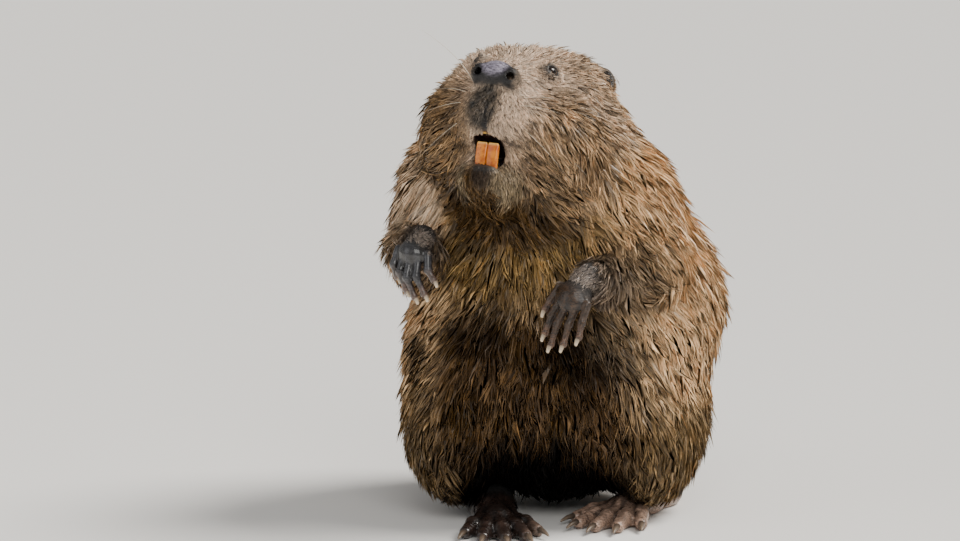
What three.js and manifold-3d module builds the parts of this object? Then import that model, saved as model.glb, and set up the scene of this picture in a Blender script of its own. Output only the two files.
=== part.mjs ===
// A life-size beaver sitting up on its hind feet and tail, with its forepaws held before its chest, its
// head raised and its mouth a little open. Millimetres, +Z up, the animal faces -Y and its left side is +X.
// The solids reach to the tips of the coat. The soft forms are blended ellipsoids and tapered limbs, turned
// into closed meshes by a surface net, and then parted from each other with thin cuts.
import * as THREE from "three";
import { mergeVertices } from "three/addons/utils/BufferGeometryUtils.js";
import Module from "manifold-3d";

const wasm = await Module();
wasm.setup();

// ---- Driving dimensions ----
const GAP = 0.3; // between neighbouring solids
const TORSO_TWIST = 17; // degrees that the shoulders turn to the animal's right of its hips
const TWIST_FROM = 70; // the height where the turn starts
const TWIST_TO = 300; // and where it is complete
const NOSE_TIP = [-41, -130, 453]; // the middle of the nose's front
const HEAD_YAW = 15; // degrees that the head turns to its right
const HEAD_PITCH = 31; // and is raised
const HEAD_ROLL = 3; // and leans to its left
const EYE_RADIUS = 7.5;
const FOOT_LENGTH = 152; // heel to the toes' ends, without claws
const TAIL_LENGTH = 262; // of the flat scaly part
const TAIL_WIDTH = 126;
const TAIL_THICKNESS = 24;

const COAT = { color: 0x77563a, roughness: 0.9, metalness: 0 };
const DARK_COAT = { color: 0x4b3626, roughness: 0.9, metalness: 0 };
const BARE_SKIN = { color: 0x37322f, roughness: 0.55, metalness: 0 };
const CLAW = { color: 0xb9a58c, roughness: 0.4, metalness: 0 };
const TOOTH = { color: 0xd9781a, roughness: 0.3, metalness: 0 };
const EYE = { color: 0x120d0a, roughness: 0.1, metalness: 0 };

const vec = (x, y, z) => new THREE.Vector3(x, y, z);
const radians = THREE.MathUtils.degToRad;
const SIDES = { left: 1, right: -1 };

// ---- Fields: a function of a point that is below 0 inside a form and about the distance outside ----

function blob(centre, radii, turn = [0, 0, 0]) {
  const [rx, ry, rz] = radii;
  const inverse = new THREE.Matrix4()
    .makeRotationFromEuler(new THREE.Euler(...turn.map(radians), "ZYX"))
    .setPosition(...centre)
    .invert();
  const q = vec(0, 0, 0);
  return (p) => {
    q.copy(p).applyMatrix4(inverse);
    const share = Math.hypot(q.x / rx, q.y / ry, q.z / rz);
    const slope = Math.hypot(q.x / rx ** 2, q.y / ry ** 2, q.z / rz ** 2);
    return slope < 1e-9 ? -Math.min(rx, ry, rz) : (share * (share - 1)) / slope;
  };
}

function limb(from, to, fromRadius, toRadius) {
  const a = vec(...from);
  const along = vec(...to).sub(a);
  const q = vec(0, 0, 0);
  return (p) => {
    q.copy(p).sub(a);
    const t = THREE.MathUtils.clamp(q.dot(along) / along.lengthSq(), 0, 1);
    return q.addScaledVector(along, -t).length() - THREE.MathUtils.lerp(fromRadius, toRadius, t);
  };
}

// The union of fields, rounded where they meet.
function blend(reach, ...fields) {
  return (p) =>
    fields.reduce((sum, field) => {
      const d = field(p);
      const near = Math.max(reach - Math.abs(sum - d), 0) / reach;
      return Math.min(sum, d) - (near * near * reach) / 4;
    }, Infinity);
}

const grow = (field, by) => (p) => field(p) - by;
const both = (make) => [make(SIDES.left), make(SIDES.right)];

// Where the line from a point inside a form leaves it.
function surfacePoint(field, inside, direction) {
  let [near, far] = [0, 200];
  const at = (t) => vec(...inside).addScaledVector(vec(...direction).normalize(), t);
  for (let step = 0; step < 24; step += 1) {
    const t = (near + far) / 2;
    if (field(at(t)) < 0) near = t;
    else far = t;
  }
  return at(near);
}

function placed(matrix, field) {
  const inverse = matrix.clone().invert();
  const q = vec(0, 0, 0);
  return (p) => field(q.copy(p).applyMatrix4(inverse));
}

// ---- The torso's turn ----

const twistAt = (z) => -radians(TORSO_TWIST) * THREE.MathUtils.smoothstep(z, TWIST_FROM, TWIST_TO);

function twisted(field) {
  const axis = vec(0, 0, 1);
  const q = vec(0, 0, 0);
  return (p) => field(q.copy(p).applyAxisAngle(axis, -twistAt(p.z)));
}

const twistPoint = (p) => vec(...p).applyAxisAngle(vec(0, 0, 1), twistAt(p[2])).toArray();

// ---- Solids ----

function toSolid(geometry, matrix = new THREE.Matrix4()) {
  const bare = geometry.clone().applyMatrix4(matrix);
  bare.deleteAttribute("normal");
  bare.deleteAttribute("uv");
  const merged = mergeVertices(bare, 1e-3);
  const index = merged.index.array;
  const faces = [];
  for (let i = 0; i < index.length; i += 3) {
    const [a, b, c] = index.slice(i, i + 3);
    if (a !== b && b !== c && c !== a) faces.push(a, b, c);
  }
  return new wasm.Manifold(
    new wasm.Mesh({
      numProp: 3,
      vertProperties: merged.attributes.position.array,
      triVerts: new Uint32Array(faces),
    }),
  );
}

function toGeometry(solid) {
  const { numProp, vertProperties, triVerts } = solid.getMesh();
  const position = new Float32Array((vertProperties.length / numProp) * 3);
  for (let i = 0; i < position.length / 3; i += 1) {
    position.set(vertProperties.subarray(i * numProp, i * numProp + 3), i * 3);
  }
  const geometry = new THREE.BufferGeometry();
  geometry.setAttribute("position", new THREE.BufferAttribute(position, 3));
  geometry.setIndex(new THREE.BufferAttribute(triVerts, 1));
  geometry.computeVertexNormals();
  return geometry;
}

const join = (...solids) => solids.reduce((sum, s) => sum.add(s));
const largest = (solid) =>
  solid.decompose().reduce((best, s) => (s.volume() > best.volume() ? s : best));

// The closed surface of a field inside a box [low, high], as a net of quads with one vertex in each cell
// that the surface crosses, moved onto the surface itself.
function netSolid(field, low, high, cell) {
  const size = high.map((h, k) => Math.ceil((h - low[k]) / cell) + 1);
  const at = (i, j, k) => i + size[0] * (j + size[1] * k);
  const point = (i, j, k) => vec(low[0] + i * cell, low[1] + j * cell, low[2] + k * cell);
  const values = new Float32Array(size[0] * size[1] * size[2]);
  const eachNode = (last, visit) => {
    for (let k = 0; k < size[2] - last; k += 1)
      for (let j = 0; j < size[1] - last; j += 1)
        for (let i = 0; i < size[0] - last; i += 1) visit(i, j, k);
  };
  eachNode(0, (i, j, k) => {
    const edge = [i, j, k].some((n, axis) => n === 0 || n === size[axis] - 1);
    const value = field(point(i, j, k));
    values[at(i, j, k)] = edge ? Math.max(value, cell / 2) : value;
  });

  const corners = [0, 1, 2, 3, 4, 5, 6, 7].map((c) => [c & 1, (c >> 1) & 1, (c >> 2) & 1]);
  const edges = corners.flatMap((c, a) =>
    [1, 2, 4].filter((bit) => !(a & bit)).map((bit) => [a, a | bit]),
  );
  const slopeStep = cell * 0.05;
  const settle = (p) => {
    for (let step = 0; step < 3; step += 1) {
      const d = field(p);
      if (Math.abs(d) > cell) return p;
      const slope = vec(0, 0, 0);
      ["x", "y", "z"].forEach((axis) => {
        const ahead = p.clone();
        ahead[axis] += slopeStep;
        slope[axis] = (field(ahead) - d) / slopeStep;
      });
      p.addScaledVector(slope, -d / Math.max(slope.lengthSq(), 0.2));
    }
    return p;
  };
  const vertexOf = new Map();
  const positions = [];
  eachNode(1, (i, j, k) => {
    const value = corners.map(([a, b, c]) => values[at(i + a, j + b, k + c)]);
    const sum = vec(0, 0, 0);
    let crossings = 0;
    edges.forEach(([a, b]) => {
      if (value[a] < 0 === value[b] < 0) return;
      const t = value[a] / (value[a] - value[b]);
      sum.add(vec(...corners[a]).lerp(vec(...corners[b]), t));
      crossings += 1;
    });
    if (!crossings) return;
    vertexOf.set(at(i, j, k), positions.length / 3);
    const p = sum.multiplyScalar(cell / crossings).add(point(i, j, k));
    positions.push(...settle(p).toArray());
  });

  const faces = [];
  const spot = (n) => vec(...positions.slice(3 * n, 3 * n + 3));
  eachNode(1, (i, j, k) => {
    const inside = values[at(i, j, k)] < 0;
    [[1, 0, 0], [0, 1, 0], [0, 0, 1]].forEach(([a, b, c]) => {
      if (inside === values[at(i + a, j + b, k + c)] < 0) return;
      const [u, w] = a ? [[0, 1, 0], [0, 0, 1]] : b ? [[0, 0, 1], [1, 0, 0]] : [[1, 0, 0], [0, 1, 0]];
      const quad = [[0, 0], [1, 0], [1, 1], [0, 1]].map(([s, t]) =>
        vertexOf.get(at(i - s * u[0] - t * w[0], j - s * u[1] - t * w[1], k - s * u[2] - t * w[2])),
      );
      const [n0, n1, n2, n3] = inside ? quad : quad.reverse();
      if (spot(n0).distanceTo(spot(n2)) < spot(n1).distanceTo(spot(n3))) {
        faces.push(n0, n1, n2, n0, n2, n3);
      } else {
        faces.push(n0, n1, n3, n1, n2, n3);
      }
    });
  });
  const geometry = new THREE.BufferGeometry();
  geometry.setAttribute("position", new THREE.Float32BufferAttribute(positions, 3));
  geometry.setIndex(faces);
  return toSolid(geometry);
}

// A tapered bar with round ends, of LatheGeometry.
function bar(from, to, fromRadius, toRadius, sides = 8, capSteps = 2) {
  const a = vec(...from);
  const axis = vec(...to).sub(a);
  const length = axis.length();
  const arc = (radius, height, low, high) =>
    Array.from({ length: capSteps + 1 }, (_, n) => {
      const angle = THREE.MathUtils.lerp(low, high, n / capSteps);
      return new THREE.Vector2(Math.max(radius * Math.cos(angle), 0), height + radius * Math.sin(angle));
    });
  const profile = [
    ...arc(fromRadius, 0, -Math.PI / 2, 0),
    ...arc(toRadius, length, 0, Math.PI / 2),
  ];
  profile[0].x = 0;
  profile[profile.length - 1].x = 0;
  const turn = new THREE.Quaternion().setFromUnitVectors(vec(0, 1, 0), axis.normalize());
  const matrix = new THREE.Matrix4().compose(a, turn, vec(1, 1, 1));
  return toSolid(new THREE.LatheGeometry(profile, sides), matrix);
}

function ellipsoid(centre, radii, turn = [0, 0, 0], segments = [12, 8]) {
  const matrix = new THREE.Matrix4().compose(
    vec(...centre),
    new THREE.Quaternion().setFromEuler(new THREE.Euler(...turn.map(radians), "ZYX")),
    vec(...radii),
  );
  return toSolid(new THREE.SphereGeometry(1, ...segments), matrix);
}

function box(low, high, matrix = new THREE.Matrix4()) {
  const size = high.map((h, k) => h - low[k]);
  const middle = high.map((h, k) => (h + low[k]) / 2);
  const at = new THREE.Matrix4().makeTranslation(...middle);
  return toSolid(new THREE.BoxGeometry(...size), matrix.clone().multiply(at));
}

// ---- Head, in its own frame: the nose's tip at the origin, facing -Y, level ----

const HEAD = new THREE.Matrix4()
  .makeRotationFromEuler(
    new THREE.Euler(radians(-HEAD_PITCH), radians(HEAD_ROLL), radians(-HEAD_YAW), "ZXY"),
  )
  .setPosition(...NOSE_TIP);
const headPoint = (p) => vec(...p).applyMatrix4(HEAD).toArray();

const EYE_INSIDE = [10, 58, 14]; // a point in the head behind the eye
const EYE_LOOKS = [0.82, -0.34, 0.3]; // and the way the eye faces from there
const EYE_SUNK = 4.5; // from the eye's middle to the face's surface
const MOUTH_AT = [0, 34, -80];

const skull = blend(
  24,
  blob([0, 108, 12], [64, 64, 56]), // cranium
  blob([36, 112, 20], [38, 54, 42]), // left temple
  blob([-42, 101, 15], [39, 54, 42]), // right temple
  blob([0, 62, 12], [36, 34, 28]), // forehead
  blob([0, 36, -4], [20, 30, 20]), // bridge of the nose
  blob([0, 50, -34], [37, 38, 34]), // muzzle
  ...both((s) => blob([s * 17, 29, -38], [16, 20, 23])), // upper lips
  blob([46, 82, -36], [38, 48, 48]), // left cheek
  blob([-53, 82, -31], [42, 48, 52]), // right cheek, fuller where the head turns towards it
  blob([0, 58, -92], [26, 28, 20]), // chin
  blob([3, 44, -104], [22, 29, 15]), // front of the chin, under the lower teeth
  blob([0, 96, -72], [50, 54, 40]), // jaw
);
const MOUTH = { at: [1, 34, -71], radii: [16, 36, 17.5] };
const noseRidge = blob([0, 10, 1], [19, 13, 13]);
const noseWings = both((s) => blob([s * 14.5, 10, -3], [8, 11, 10]));
const nosePad = blend(6, noseRidge, ...noseWings);
const nostrils = both((s) => bar([s * 17, -3, -4], [s * 13, 12, -2], 4.4, 2.6, 7, 1));

// ---- Torso, in the frame of its own symmetry, before it turns ----

const torso = blend(
  40,
  blob([0, -8, 160], [148, 122, 144]), // belly
  blob([-4, -8, 276], [116, 100, 112]), // chest
  blob([0, 46, 120], [130, 112, 100]), // rump
  blob([-2, 42, 214], [144, 100, 124]), // back
  blob([42, 18, 211], [121, 90, 92]), // left flank
  blob([71, -6, 304], [50, 64, 68]), // left shoulder
  blob([-89, -14, 313], [62, 70, 74]), // right shoulder, raised
  blob([-1, -16, 358], [89, 80, 72]), // root of the neck
);
const HAUNCH_AT = { left: [97, -14, 92], right: [-87, -34, 91] };
const haunches = Object.values(HAUNCH_AT).map((at) => blob(at, [57, 94, 80]));
const tailRoot = limb([0, 118, 50], [0, 186, 26], 56, 30);

// ---- Arms: joints in the torso's frame ----

const ARMS = {
  left: { shoulder: [88, -22, 320], elbow: [122, -44, 268], wrist: [80, -118, 249] },
  right: { shoulder: [-98, -28, 322], elbow: [-112, -68, 262], wrist: [-82, -138, 280] },
};
const UPPER_ARM_RADII = [48, 34];
const FOREARM_RADII = [31, 17];
const arms = Object.values(ARMS).flatMap((arm) => [
  limb(twistPoint(arm.shoulder), twistPoint(arm.elbow), ...UPPER_ARM_RADII),
  limb(twistPoint(arm.elbow), twistPoint(arm.wrist), ...FOREARM_RADII),
]);

const furred = blend(
  26,
  twisted(blend(30, torso, ...haunches)),
  placed(HEAD, skull),
  tailRoot,
  ...arms,
);
const flesh = (p) => Math.max(furred(p), -p.z);

// ---- Cutters ----

const CUT = 400; // larger than any part
const HEAD_CUT = { at: [0, 40, -18], radii: [120, 98, 108] };
const headRegion = (grown = 0) => {
  const radii = HEAD_CUT.radii.map((r) => r + grown);
  return ellipsoid(HEAD_CUT.at, radii, [0, 0, 0], [12, 8]).transform(HEAD.elements);
};
const muzzleRegion = (grown = 0) => box([-CUT, -CUT, -118 - grown], [CUT, 56 + grown, CUT], HEAD);
const jawRegion = (grown = 0) => {
  const tilt = new THREE.Matrix4().makeRotationX(radians(-12)).setPosition(...MOUTH_AT);
  return box([-CUT, -CUT, -CUT], [CUT, 58 + grown, grown], HEAD.clone().multiply(tilt));
};
const NECK_BASE = new THREE.Matrix4()
  .makeRotationFromEuler(new THREE.Euler(radians(-10), 0, 0))
  .setPosition(0, 0, 356);
const neckRegion = (grown = 0) => box([-CUT, -CUT, -grown], [CUT, CUT, CUT], NECK_BASE);

const ARM_OUTWARD = 16; // the cutters lie this far out of the arm's own line
function armCutters(side, grown = 0) {
  const arm = ARMS[side];
  const outward = ([x, y, z]) => twistPoint([x + SIDES[side] * ARM_OUTWARD, y - ARM_OUTWARD * 0.4, z]);
  const [shoulder, elbow] = [arm.shoulder, arm.elbow].map(outward);
  return {
    upper: bar(shoulder, elbow, 54 + grown, 42 + grown, 8, 2),
    lower: bar(twistPoint(arm.elbow), twistPoint(arm.wrist), 38 + grown, 28 + grown, 7, 1),
  };
}

function haunchCutter(side, grown = 0) {
  const [x, y, z] = HAUNCH_AT[side];
  const radii = [72 + grown, 108 + grown, 100 + grown];
  return ellipsoid([x * 1.12, y, z], radii, [0, 0, 0], [10, 7]);
}

// ---- Forepaws: a palm and five bent fingers, hanging from the wrist ----

const FINGER_LENGTHS = [22, 35, 38, 35, 26]; // from the thumb out
const FINGER_RADIUS = 4.8;
const HAND = {
  left: { knuckles: [65, -135, 231], tips: [51, -143, 200], spread: 12.6 },
  right: { knuckles: [-87, -151, 268], tips: [-80, -147, 240], spread: 12.2 },
};

function forepaw(side) {
  const s = SIDES[side];
  const wrist = vec(...twistPoint(ARMS[side].wrist));
  const knuckles = vec(...twistPoint(HAND[side].knuckles));
  const down = vec(...twistPoint(HAND[side].tips)).sub(knuckles).normalize();
  const palm = knuckles.clone().sub(wrist);
  const out = vec(s, 0, 0).applyAxisAngle(vec(0, 0, 1), twistAt(CUT));
  const across = out.addScaledVector(palm, -out.dot(palm) / palm.lengthSq()).normalize();
  const back = across.clone().cross(palm).normalize().multiplyScalar(s);
  const turn = new THREE.Matrix4().makeBasis(across, palm.clone().normalize(), back.clone());
  const angles = new THREE.Euler().setFromRotationMatrix(turn, "ZYX");
  const degrees = [angles.x, angles.y, angles.z].map(THREE.MathUtils.radToDeg);
  const middle = wrist.clone().lerp(knuckles, 0.62);
  const solids = [
    bar(wrist.clone().addScaledVector(palm, -0.3).toArray(), middle.toArray(), 14.5, 12.5, 8, 1),
    ellipsoid(middle.toArray(), [HAND[side].spread * 1.65, palm.length() * 0.68, 10.5], degrees, [8, 5]),
  ];
  const claws = [];
  FINGER_LENGTHS.forEach((length, i) => {
    const fan = (i - 2) * HAND[side].spread;
    const base = knuckles.clone().addScaledVector(across, fan * 0.78);
    base.addScaledVector(palm, i === 0 ? -0.34 : -0.12 * Math.abs(i - 2));
    const bend = base.clone().addScaledVector(palm.clone().normalize(), length * 0.36);
    bend.addScaledVector(down, length * 0.2).addScaledVector(across, fan * 0.14);
    bend.addScaledVector(back, 3.5);
    const tip = bend.clone().addScaledVector(down, length * 0.62).addScaledVector(across, fan * 0.1);
    tip.addScaledVector(back, -2);
    const start = base.clone().addScaledVector(palm, -0.12);
    solids.push(bar(start.toArray(), bend.toArray(), FINGER_RADIUS + 1, FINGER_RADIUS, 5, 1));
    solids.push(bar(bend.toArray(), tip.toArray(), FINGER_RADIUS, FINGER_RADIUS - 1, 5, 1));
    const point = tip.clone().addScaledVector(down, 8.5).addScaledVector(back, -2.5);
    const room = bar(bend.toArray(), tip.toArray(), FINGER_RADIUS + GAP, FINGER_RADIUS - 1 + GAP, 5, 1);
    claws.push({ from: tip, to: point, room });
  });
  return { paw: join(...solids), claws };
}

// ---- Hind feet: a webbed sole and five toes, flat on the floor ----

const FEET = {
  left: { heel: [101, 30], heading: 17 },
  right: { heel: [-61, -36], heading: 15 },
};
const TOE_SPREAD = [-25, -12, 0, 12, 25]; // degrees from the foot's middle, from the inner toe out
const TOE_LENGTHS = [0.84, 0.96, 1, 0.97, 0.86]; // as shares of the foot's length
const TOE_RADIUS = 9.5;
const TOES_FAN_FROM = 0.3; // the share of the foot's length where the toes part
const WEB_THICKNESS = 5;
const WEB_REACH = 0.86; // how far the web's edge goes along the toes, between them

const footPlace = (side) =>
  new THREE.Matrix4()
    .makeRotationZ(radians(-SIDES[side] * FEET[side].heading))
    .setPosition(...FEET[side].heel, 0);

// The heel, the sole and the ankle, whose place the trunk and the haunch leave free.
function footBars(side, grown = 0) {
  const s = SIDES[side];
  const root = TOES_FAN_FROM * FOOT_LENGTH;
  return [
    bar([0, 0, 15], [0, -root, 13], 24 + grown, 21 + grown, 8, 1),
    bar([0, -root, 13], [0, -root * 1.9, 9], 21 + grown, 17 + grown, 8, 1),
    bar([s * 2, -4, 20], [s * 4, -8, 52], 24 + grown, 24 + grown, 8, 1),
  ].map((solid) => solid.transform(footPlace(side).elements));
}

function hindFoot(side) {
  const s = SIDES[side];
  const place = footPlace(side);
  const root = TOES_FAN_FROM * FOOT_LENGTH;
  const toeEnds = TOE_SPREAD.map((angle, i) => {
    const reach = TOE_LENGTHS[i] * FOOT_LENGTH - root;
    const a = radians(angle) * s;
    return [Math.sin(a) * reach, -root - Math.cos(a) * reach];
  });
  const webEdge = toeEnds.flatMap(([x, y], i) => {
    if (i === toeEnds.length - 1) return [[x, y]];
    const [nx, ny] = toeEnds[i + 1];
    return [[x, y], [((x + nx) / 2) * WEB_REACH, ((y + ny) / 2) * WEB_REACH]];
  });
  const outline = new THREE.Shape([
    new THREE.Vector2(-s * 14, -root + 10),
    ...webEdge.map(([x, y]) => new THREE.Vector2(x, y)),
    new THREE.Vector2(s * 14, -root + 10),
  ]);
  const web = new THREE.ExtrudeGeometry(outline, { depth: WEB_THICKNESS, bevelEnabled: false });
  const height = TOE_RADIUS * 0.72;
  const solids = [toSolid(web, place), ...footBars(side)];
  const claws = [];
  toeEnds.forEach(([x, y], i) => {
    const a = radians(TOE_SPREAD[i]) * s;
    const from = [Math.sin(a) * 12, -root + 4, height + 2];
    const knuckle = [x * 0.62, -root + (y + root) * 0.62, height + 2.5];
    const to = [x, y, height - 1];
    const toe = (grown) => bar(knuckle, to, TOE_RADIUS + grown, TOE_RADIUS * 0.8 + grown, 5, 1);
    solids.push(bar(from, knuckle, TOE_RADIUS, TOE_RADIUS, 5, 1).transform(place.elements));
    solids.push(toe(0).transform(place.elements));
    const point = [x + Math.sin(a) * 21, y - Math.cos(a) * 21, 3.6];
    const room = toe(GAP).transform(place.elements);
    const [start, end] = [to, point].map((p) => vec(...p).applyMatrix4(place));
    claws.push({ from: start, to: end, room });
  });
  const underFloor = box([-CUT, -CUT, -CUT], [CUT, CUT, 0]);
  return { foot: join(...solids).subtract(underFloor), claws };
}

// ---- Tail: a flat paddle lying on the floor ----

const TAIL_BEND = 26; // how far its end strays to the animal's left
const TAIL_START = [0, 176];

function tailPaddle(grown = 0) {
  const stations = 10;
  const sides = 12;
  const positions = [];
  const faces = [];
  for (let i = 0; i <= stations; i += 1) {
    const t = i / stations;
    const ease = 0.5 - 0.5 * Math.cos(Math.PI * t);
    const end = i === stations ? grown : 0;
    const y = TAIL_START[1] + ease * TAIL_LENGTH + (i ? end : -grown);
    const x = TAIL_START[0] + TAIL_BEND * ease ** 2;
    const oval = Math.sqrt(Math.max(1 - ((ease - 0.5) / 0.5) ** 4, 0));
    const root = Math.max(1 - ease / 0.35, 0);
    const width = Math.max((TAIL_WIDTH / 2) * (oval - 0.36 * root ** 2), i ? 2 : 26) + 4 * grown;
    const height = (TAIL_THICKNESS / 2) * (0.5 + 0.5 * oval) * (1 - 0.35 * ease) + 9 * root;
    for (let n = 0; n < sides; n += 1) {
      const angle = (2 * Math.PI * n) / sides;
      const up = Math.sign(Math.sin(angle)) * Math.abs(Math.sin(angle)) ** 0.8;
      const z = Math.max(height * (1 + up) - 1 + (up > 0 ? 3 : -3) * grown, 0);
      positions.push(x + width * Math.cos(angle), y, z);
    }
  }
  for (let i = 0; i < stations; i += 1) {
    for (let n = 0; n < sides; n += 1) {
      const a = i * sides + n;
      const b = i * sides + ((n + 1) % sides);
      faces.push(a, b + sides, b, a, a + sides, b + sides);
    }
  }
  for (let n = 1; n < sides - 1; n += 1) {
    const end = stations * sides;
    faces.push(0, n, n + 1, end, end + n + 1, end + n);
  }
  const geometry = new THREE.BufferGeometry();
  geometry.setAttribute("position", new THREE.Float32BufferAttribute(positions, 3));
  geometry.setIndex(faces);
  return toSolid(geometry);
}

// ---- Ears, eyes, teeth and claws ----

const EAR_INSIDE = [0, 120, 6]; // a point in the head between the ears
const EAR_LEAVES = [0.78, 0, 0.54]; // and the way from there to the left ear
const EAR_TURN = [-12, 0, 48];
const EAR_SUNK = 8; // below the tips of the coat

function ear(s, grown = 0) {
  const out = vec(s * EAR_LEAVES[0], EAR_LEAVES[1], EAR_LEAVES[2]).transformDirection(HEAD);
  const root = surfacePoint(furred, headPoint(EAR_INSIDE), out.toArray());
  const middle = root.addScaledVector(out, -EAR_SUNK).applyMatrix4(HEAD.clone().invert());
  const turn = [EAR_TURN[0], EAR_TURN[1], s * EAR_TURN[2]];
  const oval = ([x, y, z], radii) => {
    const at = [middle.x + s * x, middle.y + y, middle.z + z];
    return ellipsoid(at, radii.map((r) => r + grown), turn, [8, 5]).transform(HEAD.elements);
  };
  const shell = join(oval([1, 0, 4], [12.5, 6.5, 15]), oval([-8, 3, -4], [11, 8, 10]));
  return grown ? shell : shell.subtract(oval([5, -5, 5], [8.5, 6, 10.5]));
}

// A pair of joined incisors from root to cutting edge, both in the head's frame.
function incisors(root, edge, width, thickness) {
  const half = width / 2;
  const rise = vec(...edge).sub(vec(...root));
  const height = rise.length();
  const round = 2.4;
  const notch = [0.7, 3.5];
  const shape = new THREE.Shape();
  shape.moveTo(-half, 0);
  shape.lineTo(-half, height - round);
  shape.quadraticCurveTo(-half, height, -half + round, height);
  shape.lineTo(-notch[0], height);
  shape.lineTo(0, height - notch[1]);
  shape.lineTo(notch[0], height);
  shape.lineTo(half - round, height);
  shape.quadraticCurveTo(half, height, half, height - round);
  shape.lineTo(half, 0);
  const options = { depth: thickness, bevelEnabled: false, curveSegments: 3 };
  const geometry = new THREE.ExtrudeGeometry(shape, options).translate(0, 0, -thickness / 2);
  const up = rise.normalize();
  const front = vec(1, 0, 0).cross(up);
  const stand = new THREE.Matrix4().makeBasis(vec(1, 0, 0), up, front).setPosition(...root);
  return toSolid(geometry, HEAD.clone().multiply(stand));
}

// ---- Assembly ----

const model = new THREE.Group();
function add(name, look, solid) {
  const mesh = new THREE.Mesh(toGeometry(solid), new THREE.MeshStandardMaterial(look));
  mesh.name = name;
  model.add(mesh);
}

function headNet(field, low, high, cell) {
  return netSolid(placed(HEAD.clone().invert(), field), low, high, cell).transform(HEAD.elements);
}

// Inserts, each with the slightly larger form that is cut from what holds it.
const NOSE_ROOM = [[-33, -9, -21], [33, 35, 23]];
const NOSE_CELL = 6.8;
const wholeNose = headNet(placed(HEAD, nosePad), ...NOSE_ROOM, NOSE_CELL);
const noseSolid = nostrils.reduce((nose, n) => nose.subtract(n.transform(HEAD.elements)), wholeNose);
const noseHole = headNet(placed(HEAD, grow(nosePad, GAP)), ...NOSE_ROOM, NOSE_CELL);
const inserts = [noseHole];
Object.entries(SIDES).forEach(([side, s]) => {
  add("ear_" + side, DARK_COAT, ear(s));
  inserts.push(ear(s, 2 * GAP));
  const mirror = ([x, y, z]) => [s * x, y, z];
  const eyeLooks = vec(...mirror(EYE_LOOKS)).normalize();
  const lid = surfacePoint(skull, mirror(EYE_INSIDE), eyeLooks.toArray());
  const eyeCentre = headPoint(lid.addScaledVector(eyeLooks, -EYE_SUNK).toArray());
  const radius = EYE_RADIUS;
  add("eye_" + side, EYE, ellipsoid(eyeCentre, [radius, radius, radius], [0, 0, 0], [8, 6]));
  const socket = radius + GAP;
  inserts.push(ellipsoid(eyeCentre, [socket, socket, socket], [0, 0, 0], [8, 6]));
});
const TEETH = {
  incisors_lower: { root: [7.6, 29, -95], edge: [7, 19.5, -68], width: 23, thickness: 6 },
  incisors_upper: { root: [2, 28, -35], edge: [2, 19, -59], width: 17, thickness: 5 },
};
Object.entries(TEETH).forEach(([name, t]) => {
  add(name, TOOTH, incisors(t.root, t.edge, t.width, t.thickness));
  const below = vec(...t.root).sub(vec(...t.edge)).setLength(GAP).add(vec(...t.root)).toArray();
  inserts.push(incisors(below, t.edge, t.width + 2 * GAP, t.thickness + 2 * GAP));
});
add("nose", BARE_SKIN, largest(noseSolid));
const withoutInserts = (solid) => largest(inserts.reduce((rest, hole) => rest.subtract(hole), solid));

// The head, the muzzle and the lower jaw.
const coarseHead = headNet(flesh, [-150, -20, -140], [150, 150, 90], 28);
const fineMuzzle = headNet(flesh, [-100, -20, -140], [100, 84, 70], 16);
const mouth = ellipsoid(MOUTH.at, MOUTH.radii, [0, 0, 0], [10, 8]).transform(HEAD.elements);
const face = fineMuzzle.intersect(muzzleRegion()).intersect(headRegion()).subtract(mouth);
add("muzzle", COAT, withoutInserts(face.subtract(jawRegion(GAP))));
add("lower_jaw", COAT, withoutInserts(face.intersect(jawRegion())));
add("head", COAT, withoutInserts(coarseHead.intersect(headRegion()).subtract(muzzleRegion(GAP))));

// The neck and the trunk, less the room that the limbs and the tail take.
const body = netSolid(flesh, [-200, -230, -20], [200, 230, 500], 48).subtract(headRegion(GAP));
const rearRegion = (grown = 0) => box([-CUT, 108 - grown, -CUT], [CUT, CUT, 128 + grown]);
const rear = netSolid(flesh, [-110, 70, -20], [110, 240, 160], 28).intersect(rearRegion());
add("neck", COAT, withoutInserts(largest(body.intersect(neckRegion()))));
add("tail_base", COAT, largest(rear.subtract(tailPaddle(GAP))));
add("tail", BARE_SKIN, tailPaddle());
let trunk = body.subtract(neckRegion(GAP)).subtract(rearRegion(GAP));

// Each claw is a cone that starts at the end of its finger or toe.
const CLAW_SIDES = 5;
function addClaws(kind, side, claws, radii) {
  claws.forEach(({ from, to, room }, i) => {
    const claw = bar(from.toArray(), to.toArray(), ...radii, CLAW_SIDES, 1).subtract(room);
    add(`claw_${kind}_${side}_${i + 1}`, CLAW, largest(claw));
  });
}

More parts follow.
